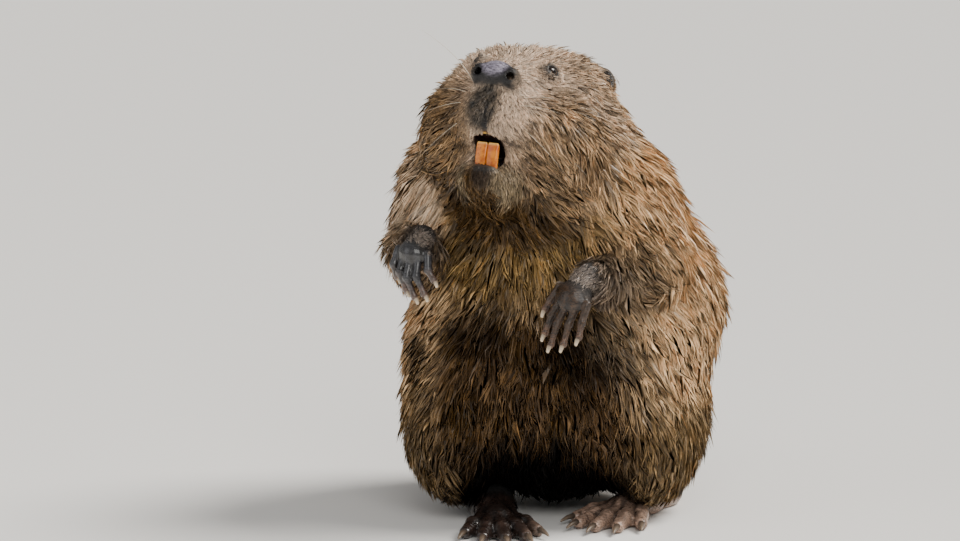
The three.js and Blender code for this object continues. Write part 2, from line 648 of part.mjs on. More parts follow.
const belowNeck = netSolid(flesh, [-200, -200, 190], [200, 80, 400], 26)
  .subtract(neckRegion(GAP))
  .subtract(headRegion(GAP));
Object.entries(SIDES).forEach(([side, s]) => {
  const arm = armCutters(side);
  const armRoom = armCutters(side, GAP);
  const haunchRoom = haunchCutter(side, GAP);
  const wrist = vec(...twistPoint(ARMS[side].wrist));
  const reach = wrist.clone().sub(vec(...twistPoint(ARMS[side].elbow))).normalize();
  const turn = new THREE.Quaternion().setFromUnitVectors(vec(0, 0, 1), reach);
  const sleeve = new THREE.Matrix4().compose(wrist, turn, vec(1, 1, 1));
  const handSide = (grown) => box([-60, -60, -6 - grown], [60, 60, 120], sleeve);
  const forearm = belowNeck.intersect(arm.lower).subtract(armRoom.upper).subtract(haunchRoom);
  add("upper_arm_" + side, COAT, largest(belowNeck.intersect(arm.upper).subtract(haunchRoom)));
  add("forearm_" + side, DARK_COAT, largest(forearm.subtract(handSide(0))));
  const { paw, claws: fingerClaws } = forepaw(side);
  add("forepaw_" + side, BARE_SKIN, largest(paw.intersect(handSide(-GAP))));
  addClaws("fore", side, fingerClaws, [3.4, 0.9]);

  const { foot, claws: toeClaws } = hindFoot(side);
  const reachOut = box([-60, -CUT / 2, -1], [60, 0, TOE_RADIUS * 2], footPlace(side));
  const footRoom = join(...footBars(side, GAP), reachOut);
  const [low, high] = s > 0 ? [10, 200] : [-200, -10];
  const haunch = netSolid(flesh, [low, -170, -14], [high, 130, 220], 36).intersect(haunchCutter(side));
  add("haunch_" + side, COAT, largest(haunch.subtract(footRoom)));
  add("hind_foot_" + side, BARE_SKIN, foot);
  addClaws("hind", side, toeClaws, [4.5, 1.2]);
  trunk = [armRoom.upper, armRoom.lower, haunchRoom, footRoom].reduce((t, room) => t.subtract(room), trunk);
});
add("trunk", COAT, largest(trunk));

// The origin is the middle of the whole's footprint, on the floor.
const bounds = new THREE.Box3().setFromObject(model);
const middle = bounds.getCenter(vec(0, 0, 0));
model.position.set(-middle.x, -middle.y, -bounds.min.z);

export default model;
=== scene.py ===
import math

import bpy
import numpy as np
from mathutils import Euler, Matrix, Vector, kdtree


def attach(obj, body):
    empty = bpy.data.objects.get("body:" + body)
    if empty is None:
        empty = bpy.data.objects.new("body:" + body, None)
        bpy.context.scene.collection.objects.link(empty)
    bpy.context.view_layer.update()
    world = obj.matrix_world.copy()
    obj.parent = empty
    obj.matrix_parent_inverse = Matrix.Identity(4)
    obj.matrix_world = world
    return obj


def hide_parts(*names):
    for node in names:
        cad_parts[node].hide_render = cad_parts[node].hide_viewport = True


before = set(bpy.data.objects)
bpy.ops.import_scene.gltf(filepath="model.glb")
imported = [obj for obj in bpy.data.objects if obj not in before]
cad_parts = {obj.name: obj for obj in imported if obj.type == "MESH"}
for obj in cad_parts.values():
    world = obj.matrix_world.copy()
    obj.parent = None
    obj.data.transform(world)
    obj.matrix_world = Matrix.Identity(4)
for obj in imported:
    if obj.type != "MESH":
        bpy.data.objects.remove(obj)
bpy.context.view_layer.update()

# ---- Sizes, in millimetres, in the frame that the animal is laid out in ----

SHIFT = np.array([-0.77, -116.87, 0.0])  # from that frame to the row's
TORSO_TWIST, TWIST_FROM, TWIST_TO = 17.0, 70.0, 300.0
NOSE_TIP = np.array([-41.0, -130.0, 453.0])
EYE_RADIUS = 7.5
FOOT_LENGTH = 152.0
TAIL_START, TAIL_LENGTH, TAIL_WIDTH, TAIL_THICKNESS, TAIL_BEND = 176.0, 262.0, 126.0, 24.0, 26.0
SIDES = {"left": 1.0, "right": -1.0}


def metres(p):
    return (np.asarray(p, float) + SHIFT) / 1000.0


# ---- Fields: below 0 inside a form, about the distance outside ----

def blob(centre, radii, turn=None):
    centre, radii = np.array(centre, float), np.array(radii, float)

    def field(p):
        q = p - centre if turn is None else (p - centre) @ turn
        share = np.linalg.norm(q / radii, axis=-1)
        slope = np.linalg.norm(q / radii**2, axis=-1)
        return share * (share - 1.0) / np.maximum(slope, 1e-6)

    return field


def limb(start, end, r0, r1):
    a, along = np.array(start, float), np.array(end, float) - np.array(start, float)

    def field(p):
        q = p - a
        t = np.clip(q @ along / (along @ along), 0.0, 1.0)
        return np.linalg.norm(q - t[..., None] * along, axis=-1) - (r0 + (r1 - r0) * t)

    return field


def meld(reach, values):
    total = values[0]
    for v in values[1:]:
        near = np.clip(reach - np.abs(total - v), 0.0, None) / reach
        total = np.minimum(total, v) - near * near * reach / 4.0
    return total


def blend(reach, *fields):
    return lambda p: meld(reach, [f(p) for f in fields])


def dig(value, hollow, reach=1.5):
    """value less hollow, rounded at the rim."""
    near = np.clip(reach - np.abs(value + hollow), 0.0, None) / reach
    return np.maximum(value, -hollow) + near * near * reach / 4.0


def local(field, points, pad, margin=12.0):
    """field near the box round points; farther off than margin, the distance to that box."""
    low, high = np.min(points, axis=0) - pad, np.max(points, axis=0) + pad

    def near_only(p):
        value = np.linalg.norm(np.maximum(np.maximum(low - p, p - high), 0.0), axis=-1)
        near = value < margin
        value[near] = field(p[near])
        return value

    return near_only


def ramp(x, low, high):
    t = np.clip((x - low) / (high - low), 0.0, 1.0)
    return t * t * (3.0 - 2.0 * t)


def near(p, centre, radii, edge=0.35):
    """1 inside an ellipsoid, 0 well outside it."""
    share = np.linalg.norm((p - np.array(centre, float)) / np.array(radii, float), axis=-1)
    return 1.0 - ramp(share, 1.0 - edge, 1.0 + edge)


def least(values):
    return np.minimum.reduce(list(values))


def most(values):
    return np.maximum.reduce(list(values))


def unit(v):
    return v / np.maximum(np.linalg.norm(v, axis=-1, keepdims=True), 1e-9)


def turn_by(angles, order="XYZ"):
    """The columns of a turn by angles in degrees."""
    return np.array(Euler([math.radians(a) for a in angles], order).to_matrix())


HEAD = turn_by((-31.0, 3.0, -15.0), "YXZ")


def in_head(p):
    return (p - NOSE_TIP) @ HEAD


def from_head(q):
    return np.asarray(q, float) @ HEAD.T + NOSE_TIP


def twist_at(z):
    return -math.radians(TORSO_TWIST) * ramp(z, TWIST_FROM, TWIST_TO)


def turned(p, angle):
    c, s = np.cos(angle), np.sin(angle)
    return np.stack([c * p[..., 0] - s * p[..., 1], s * p[..., 0] + c * p[..., 1], p[..., 2]], axis=-1)


def twist_point(p):
    p = np.array(p, float)
    return turned(p, twist_at(p[2]))


# ---- Head, in its own frame: the nose's tip at the origin, facing -Y, level ----

skull = blend(
    24,
    blob([0, 108, 12], [64, 64, 56]),
    blob([36, 112, 20], [38, 54, 42]),
    blob([-42, 101, 15], [39, 54, 42]),
    blob([0, 62, 12], [36, 34, 28]),
    blob([0, 36, -4], [20, 30, 20]),
    blob([0, 50, -34], [37, 38, 34]),
    *[blob([s * 17, 29, -38], [16, 20, 23]) for s in (1, -1)],  # the lips
    blob([46, 82, -36], [38, 48, 48]),
    blob([-53, 82, -31], [42, 48, 52]),
    blob([0, 58, -92], [26, 28, 20]),
    blob([3, 44, -104], [22, 29, 15]),
    blob([0, 96, -72], [50, 54, 40]),
)
HEAD_ROOM = [[-60, 24, -76], [60, 130, 40]]
head_near = local(skull, HEAD_ROOM, 50, 30.0)
nose_pad = blend(
    5,
    blob([-1, 9, 1], [18, 12, 12.5]),
    blob([16.5, 9, -3], [8.4, 11, 10]),
    blob([-18.5, 9, -1], [8.4, 11, 10]),
)
MOUTH = blend(4, blob([1.6, 30, -65], [14.2, 35, 8.4]), blob([4.8, 33, -76], [13.4, 31, 14]))

# ---- Torso, before it turns, and the limbs ----

torso = blend(
    40,
    blob([0, -8, 160], [148, 122, 144]),
    blob([-4, -8, 276], [116, 100, 112]),
    blob([0, 46, 120], [130, 112, 100]),
    blob([-2, 42, 214], [144, 100, 124]),
    blob([42, 18, 211], [121, 90, 92]),
    blob([71, -6, 304], [50, 64, 68]),
    blob([-89, -14, 313], [62, 70, 74]),
    blob([-1, -16, 358], [89, 80, 72]),
)
HAUNCH_AT = {"left": [97, -14, 92], "right": [-87, -34, 91]}
haunches = {side: blob(at, [57, 94, 80]) for side, at in HAUNCH_AT.items()}
TAIL_ROOT = [[0, 118, 50], [0, 186, 26]]
tail_root = local(limb(*TAIL_ROOT, 56, 30), TAIL_ROOT, 56, 30.0)
ARM_POINTS = {
    "left": {"shoulder": [88, -22, 320], "elbow": [122, -44, 268], "wrist": [80, -118, 249]},
    "right": {"shoulder": [-98, -28, 322], "elbow": [-112, -68, 262], "wrist": [-82, -138, 280]},
}
ARMS = {side: {k: twist_point(v) for k, v in arm.items()} for side, arm in ARM_POINTS.items()}


def arm_part(side, start, end, r0, r1):
    ends = [ARMS[side][start], ARMS[side][end]]
    return local(limb(*ends, r0, r1), ends, max(r0, r1), 30.0)


upper_arms = {side: arm_part(side, "shoulder", "elbow", 48, 34) for side in SIDES}
forearms = {side: arm_part(side, "elbow", "wrist", 31, 17) for side in SIDES}


def past_elbow(p, side, start=0.35, end=1.0):
    """0 until the share start of the way from the elbow to the wrist, 1 from the share end."""
    elbow, wrist = ARMS[side]["elbow"], ARMS[side]["wrist"]
    along = wrist - elbow
    return ramp((p - elbow) @ along / (along @ along), start, end)


def dark_forearm(p):
    """1 on the dark fur of the forearms, which begins before the elbow."""
    return most(ramp(-forearms[s](p), -20.0, -6.0) * past_elbow(p, s, -0.2, 0.35) for s in SIDES)


def trunk(p):
    q = turned(p, -twist_at(p[..., 2]))
    return meld(30, [torso(q), haunches["left"](q), haunches["right"](q)])


def coat_and_skin(p, q):
    """The field of the coat's tips, which the solids share, the skin's depth under it, and how far
    p is on the head and on the forearms. q is p in the head's frame."""
    head = head_near(q)
    lower = [forearms[side](p) for side in SIDES]
    tips = meld(26, [trunk(p), head, tail_root(p), *[upper_arms[side](p) for side in SIDES], *lower])
    on_head = np.maximum(ramp(-head, -26.0, -2.0), near(q, [2, 18, -94], [26, 22, 22]))
    on_arm = most(ramp(-f, -16.0, -2.0) * past_elbow(p, side) for f, side in zip(lower, SIDES))
    face_depth = 1.2 + 3.0 * ramp(q[..., 1], 18.0, 60.0) + 4.0 * ramp(q[..., 1], 60.0, 135.0)
    body_depth = 12.0 - 5.0 * ramp(-p[..., 2], -40.0, -8.0)
    depth = (body_depth * (1 - on_head) + face_depth * on_head) * (1 - on_arm) + 6.0 * on_arm
    return tips, depth, on_head, on_arm


# ---- Eyes ----

EYE_INSIDE, EYE_LOOKS, EYE_SUNK = np.array([10.0, 58, 14]), np.array([0.82, -0.34, 0.3]), 4.5
LID_OPENING = (5.8, 3.9)
LID_MOUND = [EYE_RADIUS + 3, EYE_RADIUS + 1.6, EYE_RADIUS + 1.5]
LID_FOLDS = ((6.0, 5.4, 1.9), (-6.0, 5.0, 1.6))  # each lid's height, how far forward and how thick


def leaves(field, inside, way):
    """Where a line from inside leaves the form."""
    near, far = 0.0, 200.0
    for _ in range(30):
        t = (near + far) / 2
        near, far = (t, far) if field((inside + way * t)[None])[0] < 0 else (near, t)
    return inside + way * near


def frame_of(forward, up=(0, 0, 1)):
    """Columns: sideways, up, forward."""
    forward = unit(np.array(forward, float))
    side = unit(np.cross(up, forward))
    return np.stack([side, np.cross(forward, side), forward], axis=1)


eyes = {}
for side, s in SIDES.items():
    mirror = np.array([s, 1, 1])
    looks = unit(EYE_LOOKS * mirror)
    eyes[side] = (leaves(skull, EYE_INSIDE * mirror, looks) - looks * EYE_SUNK, looks, frame_of(looks))


def lids(value, q):
    for centre, looks, turn in eyes.values():
        value = meld(6.0, [value, blob(centre - looks * 1.2, LID_MOUND, turn)(q)])
        wide = turn[:, 0] * 5.0
        for height, forward, thick in LID_FOLDS:
            fold = centre + turn @ np.array([0, height, forward])
            value = meld(2.0, [value, limb(fold - wide, fold + wide, thick, thick)(q)])
        value = dig(value, blob(centre + looks * 7.0, [*LID_OPENING, 9.0], turn)(q), 1.0)
    return value


def muzzle_grooves():
    """(a groove, how round its rim is) for the nostrils, the mouth's corners and the split lip."""
    grooves = []
    for s, lift in ((1.0, 0.0), (-1.0, 2.0)):
        grooves += [
            (limb([s * 19.5, -5, lift - 4], [s * 13.5, 12, lift - 2], 4.6, 2.4), 2.0),
            (limb([s * 23.0, -1, lift], [s * 27, 12, lift + 6], 1.3, 0.6), 1.5),
            (limb([s * 15, 2, -56], [s * 30, 24, -62], 1.4, 0.5), 3.0),
        ]
    upper_split = limb([0, -5, -12], [0, 8, -40], 1.3, 1.8)
    lower_split = limb([0, 5, -40], [1, 8, -62], 1.6, 5.5)
    return [*grooves, (upper_split, 2.5), (lower_split, 3.0)]


def muzzle_details(value, q):
    lip = limb([1, 22, -96], [17, 22, -96], 4.8, 4.8)(q)
    value = meld(8.0, [value, lip, limb([4, 18, -98], [13, 18, -98], 3.2, 3.2)(q)])
    value = dig(value, MOUTH(q), 3.0)
    value = meld(8.0, [value, nose_pad(q)])
    for groove, rim in muzzle_grooves():
        value = dig(value, groove(q), rim)
    return value


def face(value, q):
    """The head's details, on the skin's field near the face."""
    near = (np.abs(value) < 30) & (q[..., 1] < 100) & (np.abs(q[..., 0]) < 72) & (q[..., 2] > -125)
    value[near] = muzzle_details(lids(value[near], q[near]), q[near])
    return value


# ---- Ears ----

EAR_SUNK = 8.0


def tips_only(q):
    p = from_head(q)
    return coat_and_skin(p, q)[0]


def make_ear(s):
    """An ear's field, its root and its hollow, in the head's frame."""
    way = unit(np.array([s * 0.78, 0, 0.54]))
    root = leaves(tips_only, np.array([0, 120.0, 6]), way) - way * EAR_SUNK
    turn = turn_by((-12, 0, s * 48))
    oval = lambda x, y, z, *radii: blob(root + np.array([s * x, y, z]), radii, turn)
    shell = blend(5, oval(1, 0, 4, 12.0, 6.0, 14.6), oval(-8, 3, -4, 11, 8, 10))
    hollow = oval(4.6, -5, 4.6, 8.8, 6.0, 10.8)
    return local(lambda q: dig(shell(q), hollow(q), 2.0), [root], 22), root, hollow


ears = {side: make_ear(s) for side, s in SIDES.items()}

# ---- Forepaws ----

FINGER_LENGTHS = [22, 35, 38, 35, 26]
FINGER = 4.1  # radius
HAND = {
    "left": {"knuckles": [65, -135, 231], "tips": [51, -143, 200], "spread": 12.4},
    "right": {"knuckles": [-87, -151, 268], "tips": [-80, -147, 240], "spread": 10.6},
}


def forepaw(side):
    """A forepaw's field, its claws as (from, to), and the first form of each finger."""
    s = SIDES[side]
    wrist, knuckles = ARMS[side]["wrist"], twist_point(HAND[side]["knuckles"])
    down = unit(twist_point(HAND[side]["tips"]) - knuckles)
    palm = knuckles - wrist
    along = unit(palm)
    out = turned(np.array([s, 0.0, 0.0]), twist_at(400.0))
    across = unit(out - along * (out @ along))
    back = np.cross(across, along) * s
    turn = np.stack([across, along, back], axis=1)
    middle = wrist + palm * 0.62
    spread = HAND[side]["spread"]
    soft = [
        limb(wrist - palm * 0.4, middle, 12.5, 11.0),
        blob(middle, [spread * 1.5, np.linalg.norm(palm) * 0.66, 9.5], turn),
    ]
    fingers, joints, claws = [], [], []
    for i, length in enumerate(FINGER_LENGTHS):
        fan = (i - 2) * spread
        base = knuckles + across * fan * 0.78 + palm * (-0.34 if i == 0 else -0.12 * abs(i - 2))
        bend = base + along * length * 0.36 + down * length * 0.2 + across * fan * 0.14 + back * 3.5
        tip = bend + down * length * 0.62 + across * fan * 0.1 - back * 2.0
        rib = wrist + palm * 0.1 + across * fan * 0.3 + back * 9.0
        soft.append(limb(rib, base + back * 3.6, 1.8, 3.0))
        fingers.append(limb(base - palm * 0.12, bend, FINGER + 0.3, FINGER - 0.3))
        joints += [
            fingers[-1],
            limb(bend, tip, FINGER - 0.4, FINGER - 1.4),
            blob(bend + back, [4.2] * 3),
            blob(tip - down * 2.0, [3.6] * 3),
        ]
        claws.append((tip, tip + down * 8.5 - back * 2.5))
    body = blend(5.0, *soft)
    corners = [wrist - palm * 0.4, wrist, *[c for claw in claws for c in claw]]
    field = lambda p: meld(1.6, [body(p), *[joint(p) for joint in joints]])
    return local(field, corners, 20), claws, fingers


# ---- Hind feet ----

FEET = {"left": {"heel": [101, 30], "heading": 17}, "right": {"heel": [-61, -36], "heading": 15}}
TOE_SPREAD = [-25, -12, 0, 12, 25]
TOE_LENGTHS = [0.84, 0.96, 1, 0.97, 0.86]
TOE = 9.0  # radius
FOOT_ROOT = 0.3 * FOOT_LENGTH  # from the heel to where the toes part


def hind_foot(side):
    """A hind foot's field, its claws as (from, to), and the middle form of each toe."""
    s = SIDES[side]
    angle = -s * math.radians(FEET[side]["heading"])
    heel = np.array([*FEET[side]["heel"], 0.0])
    place = lambda x, y, z: turned(np.array([x, y, z], float), angle) + heel
    spread = [math.radians(a) * s for a in TOE_SPREAD]
    reach = [share * FOOT_LENGTH - FOOT_ROOT for share in TOE_LENGTHS]
    sole = blend(
        10,
        limb(place(0, 0, 15), place(0, -FOOT_ROOT, 13), 23, 20),
        limb(place(0, -FOOT_ROOT, 13), place(0, -FOOT_ROOT * 1.9, 9), 20, 15),
        limb(place(s * 2, -4, 20), place(s * 4, -8, 52), 22, 22),
    )
    toes, joints, claws = [], [], []
    for a, r in zip(spread, reach):
        x, y = math.sin(a), -math.cos(a)
        at = lambda share, z: place(x * r * share, y * r * share - FOOT_ROOT, z)
        toes.append(limb(at(0.36, 10.5), at(0.72, 9.6), TOE - 1.6, TOE - 1.8))
        joints += [
            limb(at(0.1, 9.5), at(0.36, 10.5), TOE - 1, TOE - 1.4),
            toes[-1],
            limb(at(0.72, 9.6), at(1.0, 6.0), TOE - 1.6, TOE - 2.8),
            blob(at(0.4, 12.0), [7.2] * 3),
            blob(at(0.74, 10.6), [7.0] * 3),
        ]
        claws.append((at(1.0, 6.0), place(x * (r + 21), y * (r + 21) - FOOT_ROOT, 3.6)))
    order = np.argsort(spread)
    knots, edge = np.array(spread)[order], np.array(reach)[order]

    def web(p):
        q = turned(p - heel, -angle)
        x, y = q[..., 0], -(q[..., 1] + FOOT_ROOT)
        theta, rho = np.arctan2(x, np.maximum(y, 1e-3)), np.hypot(x, y)
        gap = np.abs(theta[..., None] - knots).min(axis=-1) / math.radians(6.3)
        limit = np.interp(theta, knots, edge) * (0.98 - 0.17 * np.clip(gap, 0, 1) ** 0.8)
        wide = (np.abs(theta) - math.radians(25)) * rho
        flat = np.abs(q[..., 2] - 3.4) - 2.0 - 0.03 * np.maximum(limit - rho, 0)
        return np.maximum.reduce([flat, rho - limit, wide, -y])

    field = lambda p: meld(5.0, [sole(p), meld(2.5, [web(p), *[joint(p) for joint in joints]])])
    corners = [place(-24, 24, 0), place(24, 24, 74), *[c for claw in claws for c in claw]]
    return local(field, corners, 12), claws, toes


# ---- Tail ----

def tail_section(e):
    """Half the width and half the height of the flat tail at a share e of its length."""
    oval = np.sqrt(np.clip(1 - ((e - 0.5) / 0.5) ** 4, 0, None))
    root = np.clip(1 - e / 0.35, 0, None)
    width = np.maximum(TAIL_WIDTH / 2 * (oval - 0.36 * root**2), 2.0)
    height = TAIL_THICKNESS / 2 * (0.5 + 0.5 * oval) * (1 - 0.35 * e) + 9 * root
    return width, height


def tail_shape(p):
    e = np.clip((p[..., 1] - TAIL_START) / TAIL_LENGTH, 0, 1)
    width, height = tail_section(e)
    x = (p[..., 0] - TAIL_BEND * e**2) / width
    z = (p[..., 2] - height + 1) / height
    share = np.hypot(x, z)
    slope = np.hypot(x / width, z / height)
    side = share * (share - 1) / np.maximum(slope, 1e-6)
    return np.maximum.reduce([side, TAIL_START - p[..., 1], p[..., 1] - TAIL_START - TAIL_LENGTH])


TAIL_ROOM = [[-64, TAIL_START, 0], [90, TAIL_START + TAIL_LENGTH, 42]]
tail = local(tail_shape, TAIL_ROOM, 2)
paws = {side: forepaw(side) for side in SIDES}
feet = {side: hind_foot(side) for side in SIDES}


def skin_field(p):
    q = in_head(p)
    tips, depth, _, _ = coat_and_skin(p, q)
    value = meld(4.0, [tips + depth, *[ear[0](q) for ear in ears.values()]])
    value = face(value, q)
    value = meld(7.0, [value, tail(p), *[foot[0](p) for foot in feet.values()]])
    value = meld(4.0, [value, *[paw[0](p) for paw in paws.values()]])
    return np.maximum(value, 0.4 - p[..., 2])


# ---- The skin as one closed mesh: a surface net on a grid that is finer where the detail is ----

def grid_lines(*stretches):
    """Grid lines from (low, high, cell) stretches that follow each other."""
    coarse = 1.0
    lines = [np.linspace(a, b, int((b - a) / (c * coarse)) + 1)[:-1] for a, b, c in stretches]
    return np.concatenate([*lines, [stretches[-1][1]]])


GRID = [
    grid_lines((-180, -150, 4), (-150, -118, 2.4), (-118, 42, 1.7), (42, 84, 2.3), (84, 180, 3.6)),
    grid_lines((-232, -158, 2.2), (-158, -40, 1.8), (-40, 190, 3.6), (190, 450, 4)),
    grid_lines((-4, 36, 2.2), (36, 180, 3.6), (180, 300, 2.3), (300, 336, 2.6), (336, 480, 1.7)),
]
BLOCK = 8


def blown_up(coarse, shape):
    """Block values, repeated onto the grid's lines."""
    fine = coarse.repeat(BLOCK, 0).repeat(BLOCK, 1).repeat(BLOCK, 2)
    return fine[tuple(slice(0, n) for n in shape)]


def sampled(field, grid):
    """The field on the grid's lines, worked out only in the blocks that the surface may cross."""
    shape = [len(g) for g in grid]
    edges = [np.append(g[::BLOCK], 2 * g[-1] - g[-2]) for g in grid]
    middles = np.meshgrid(*[(e[1:] + e[:-1]) / 2 for e in edges], indexing="ij")
    halves = np.meshgrid(*[(e[1:] - e[:-1]) / 2 for e in edges], indexing="ij")
    centre = field(np.stack(middles, axis=-1).reshape(-1, 3)).reshape(middles[0].shape)
    keep = np.abs(centre) < np.sqrt(sum(h**2 for h in halves)) * 1.2 + 9.0
    values = blown_up(np.where(centre < 0, -99.0, 99.0), shape)
    at = np.argwhere(blown_up(keep, shape))
    points = np.stack([grid[k][at[:, k]] for k in range(3)], axis=1)
    found = [field(points[i : i + 150000]) for i in range(0, len(points), 150000)]
    values[tuple(at.T)] = np.concatenate(found)
    values[values == 0] = 1e-4
    return values


def surface_net(field, grid):
    """Vertices and four-sided faces, one vertex in each cell that the surface crosses."""
    values = sampled(field, grid)
    shape = values.shape
    inside = values < 0
    corners = [(a, b, c) for a in (0, 1) for b in (0, 1) for c in (0, 1)]
    cut = lambda a, k: a[tuple(slice(o, a.shape[i] - 1 + o) for i, o in enumerate(k))]
    count = sum(cut(inside, k).astype(np.int8) for k in corners)
    cells = np.argwhere((count > 0) & (count < 8))
    number = np.full([n - 1 for n in shape], -1, np.int64)
    number[tuple(cells.T)] = np.arange(len(cells))
    total, crossings = np.zeros((len(cells), 3)), np.zeros(len(cells))
    for a in corners:
        for axis in range(3):
            if a[axis]:
                continue
            b = tuple(1 if i == axis else a[i] for i in range(3))
            va, vb = values[tuple((cells + a).T)], values[tuple((cells + b).T)]
            crossed = (va < 0) != (vb < 0)
            t = np.where(crossed, va / np.where(crossed, va - vb, 1), 0)
            spot = np.array(a, float) + t[:, None] * (np.array(b) - np.array(a))
            total += spot * crossed[:, None]
            crossings += crossed
    share = total / crossings[:, None]
    low = np.stack([grid[k][cells[:, k]] for k in range(3)], axis=1)
    high = np.stack([grid[k][cells[:, k] + 1] for k in range(3)], axis=1)

    quads = []
    for axis, u, w in ((0, 1, 2), (1, 2, 0), (2, 0, 1)):
        ahead = [slice(1, None) if i == axis else slice(None) for i in range(3)]
        behind = [slice(None, -1) if i == axis else slice(None) for i in range(3)]
        edge = np.argwhere(inside[tuple(behind)] != inside[tuple(ahead)])
        du, dw = np.eye(3, dtype=int)[u], np.eye(3, dtype=int)[w]
        ring = [number[tuple((edge - i * du - j * dw).T)] for i, j in ((0, 0), (1, 0), (1, 1), (0, 1))]
        quad = np.stack(ring, axis=1)
        out = ~inside[tuple(edge.T)]
        quad[out] = quad[out][:, ::-1]
        quads.append(quad)
    return low + (high - low) * share, np.concatenate(quads)


def slope(field, p, step=0.4):
    """The field and the way it rises."""
    value = field(p)
    rise = [(field(p + np.eye(3)[k] * step) - value) / step for k in range(3)]
    return value, np.stack(rise, axis=-1)


def relaxed(verts, quads):
    """Each vertex moved towards its neighbours' mean, to even the net out."""
    total, n = np.zeros_like(verts), np.bincount(quads.ravel(), minlength=len(verts)) * 2.0
    for k in range(4):
        for other in (quads[:, (k + 1) % 4], quads[:, (k - 1) % 4]):
            for axis in range(3):
                total[:, axis] += np.bincount(quads[:, k], verts[other, axis], len(verts))
    return verts * 0.4 + total / n[:, None] * 0.6


def make_skin():
    verts, quads = surface_net(skin_field, GRID)
    for _ in range(2):
        verts = relaxed(verts, quads)
        value, rise = slope(skin_field, verts)
        verts = verts - rise * np.clip(value / np.maximum((rise**2).sum(-1), 0.25), -2, 2)[:, None]
    return verts, quads, unit(rise)


# ---- Meshes and materials ----

def new_mesh(name, verts, faces, smooth=True):
    """A mesh object of equal-sided faces, from arrays in millimetres of the layout frame."""
    mesh = bpy.data.meshes.new(name)
    faces = np.ascontiguousarray(faces, np.int32)
    mesh.vertices.add(len(verts))
    mesh.vertices.foreach_set("co", metres(verts).astype(np.float32).ravel())
    mesh.loops.add(faces.size)
    mesh.loops.foreach_set("vertex_index", faces.ravel())
    mesh.polygons.add(len(faces))
    mesh.polygons.foreach_set("loop_start", np.arange(0, faces.size, faces.shape[1], dtype=np.int32))
    mesh.polygons.foreach_set("use_smooth", np.full(len(faces), smooth))
    mesh.update(calc_edges=True)
    obj = bpy.data.objects.new(name, mesh)
    bpy.context.scene.collection.objects.link(obj)
    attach(obj, "root")
    return obj


def paint(obj, name, values):
    """A colour (n, 3) or a number (n,) for each vertex."""
    if values.ndim == 1:
        layer = obj.data.attributes.new(name, "FLOAT", "POINT")
        layer.data.foreach_set("value", values.astype(np.float32))
        return
    layer = obj.data.attributes.new(name, "FLOAT_COLOR", "POINT")
    rgba = np.ones((len(values), 4), np.float32)
    rgba[:, :3] = values
    layer.data.foreach_set("color", rgba.ravel())


def rgb(r, g, b):
    """Linear colour from the 0 to 255 values seen on a screen."""
    c = np.array([r, g, b]) / 255.0
    return np.where(c <= 0.04045, c / 12.92, ((c + 0.055) / 1.055) ** 2.4)


MIX_A, MIX_B, MIX_RESULT = 6, 7, 2  # the colour sockets of a mix node


class Nodes:
    """A material's node tree, with short ways to add to it."""

    def __init__(self, name):
        self.material = bpy.data.materials.new(name)
        self.material.use_nodes = True
        self.tree = self.material.node_tree
        self.shader = self.tree.nodes["Principled BSDF"]
        self.place = self.add("TexCoord", "Object", {})

    def join(self, value, socket):
        if isinstance(value, bpy.types.NodeSocket):
            self.tree.links.new(value, socket)
        else:
            socket.default_value = (*value, 1) if socket.type == "RGBA" else value

    def add(self, kind, output, inputs, **settings):
        """An output of a new node, with its inputs joined."""
        node = self.tree.nodes.new("ShaderNode" + kind)
        for key, value in settings.items():
            setattr(node, key, value)
        for key, value in inputs.items():
            self.join(value, node.inputs[key])
        return node.outputs[output]

    def attribute(self, name, output="Color"):
        return self.add("Attribute", output, {}, attribute_name=name)

    def noise(self, scale, detail=3.0, stretch=(1, 1, 1)):
        place = self.add("Mapping", "Vector", {"Vector": self.place, "Scale": stretch})
        return self.add("TexNoise", "Fac", {"Vector": place, "Scale": scale, "Detail": detail})

    def cells(self, scale):
        return self.add("TexVoronoi", "Distance", {"Vector": self.place, "Scale": scale}, feature="F1")

    def spread(self, value, low, high, out_low=0.0, out_high=1.0):
        ends = {"From Min": low, "From Max": high, "To Min": out_low, "To Max": out_high}
        return self.add("MapRange", "Result", {"Value": value, **ends})

    def varied(self, scale, low, high, detail=3.0, stretch=(1, 1, 1)):
        """Noise that ranges from low to high."""
        return self.spread(self.noise(scale, detail, stretch), 0.3, 0.7, low, high)

    def math(self, operation, a, b):
        return self.add("Math", 0, {0: a, 1: b}, operation=operation)

    def scaled(self, colour, amount):
        """colour times a number."""
        return self.add("VectorMath", 0, {0: colour, "Scale": amount}, operation="SCALE")

    def mixed(self, share, a, b):
        """Colour a, or b where share is 1."""
        return self.add("Mix", MIX_RESULT, {0: share, MIX_A: a, MIX_B: b}, data_type="RGBA")

    def bump(self, height, distance, strength=1.0):
        shape = {"Strength": strength, "Distance": distance, "Height": height}
        self.join(self.add("Bump", "Normal", shape), self.shader.inputs["Normal"])

    def finish(self, colour, roughness, specular=0.5, **others):
        self.join(colour, self.shader.inputs["Base Color"])
        self.join(roughness, self.shader.inputs["Roughness"])
        self.shader.inputs["Specular IOR Level"].default_value = specular
        for key, value in others.items():
            self.shader.inputs[key.replace("_", " ")].default_value = value
        return self.material


# ---- Markings, with painted shade and painted highlights among them: one set of colours for the skin and the coat ----

def waves(p, length, seed, layers=5):
    """A smooth pattern from -1 to 1 whose waves are about length long."""
    rng = np.random.default_rng(seed)
    ways = unit(rng.normal(size=(layers, 3))) * rng.uniform(0.7, 1.5, (layers, 1))
    ways *= 2 * math.pi / length
    total = sum(np.sin(p @ w + o) for w, o in zip(ways, rng.uniform(0, 6.3, layers)))
    return np.clip(total / math.sqrt(layers), -1.6, 1.6) / 1.6


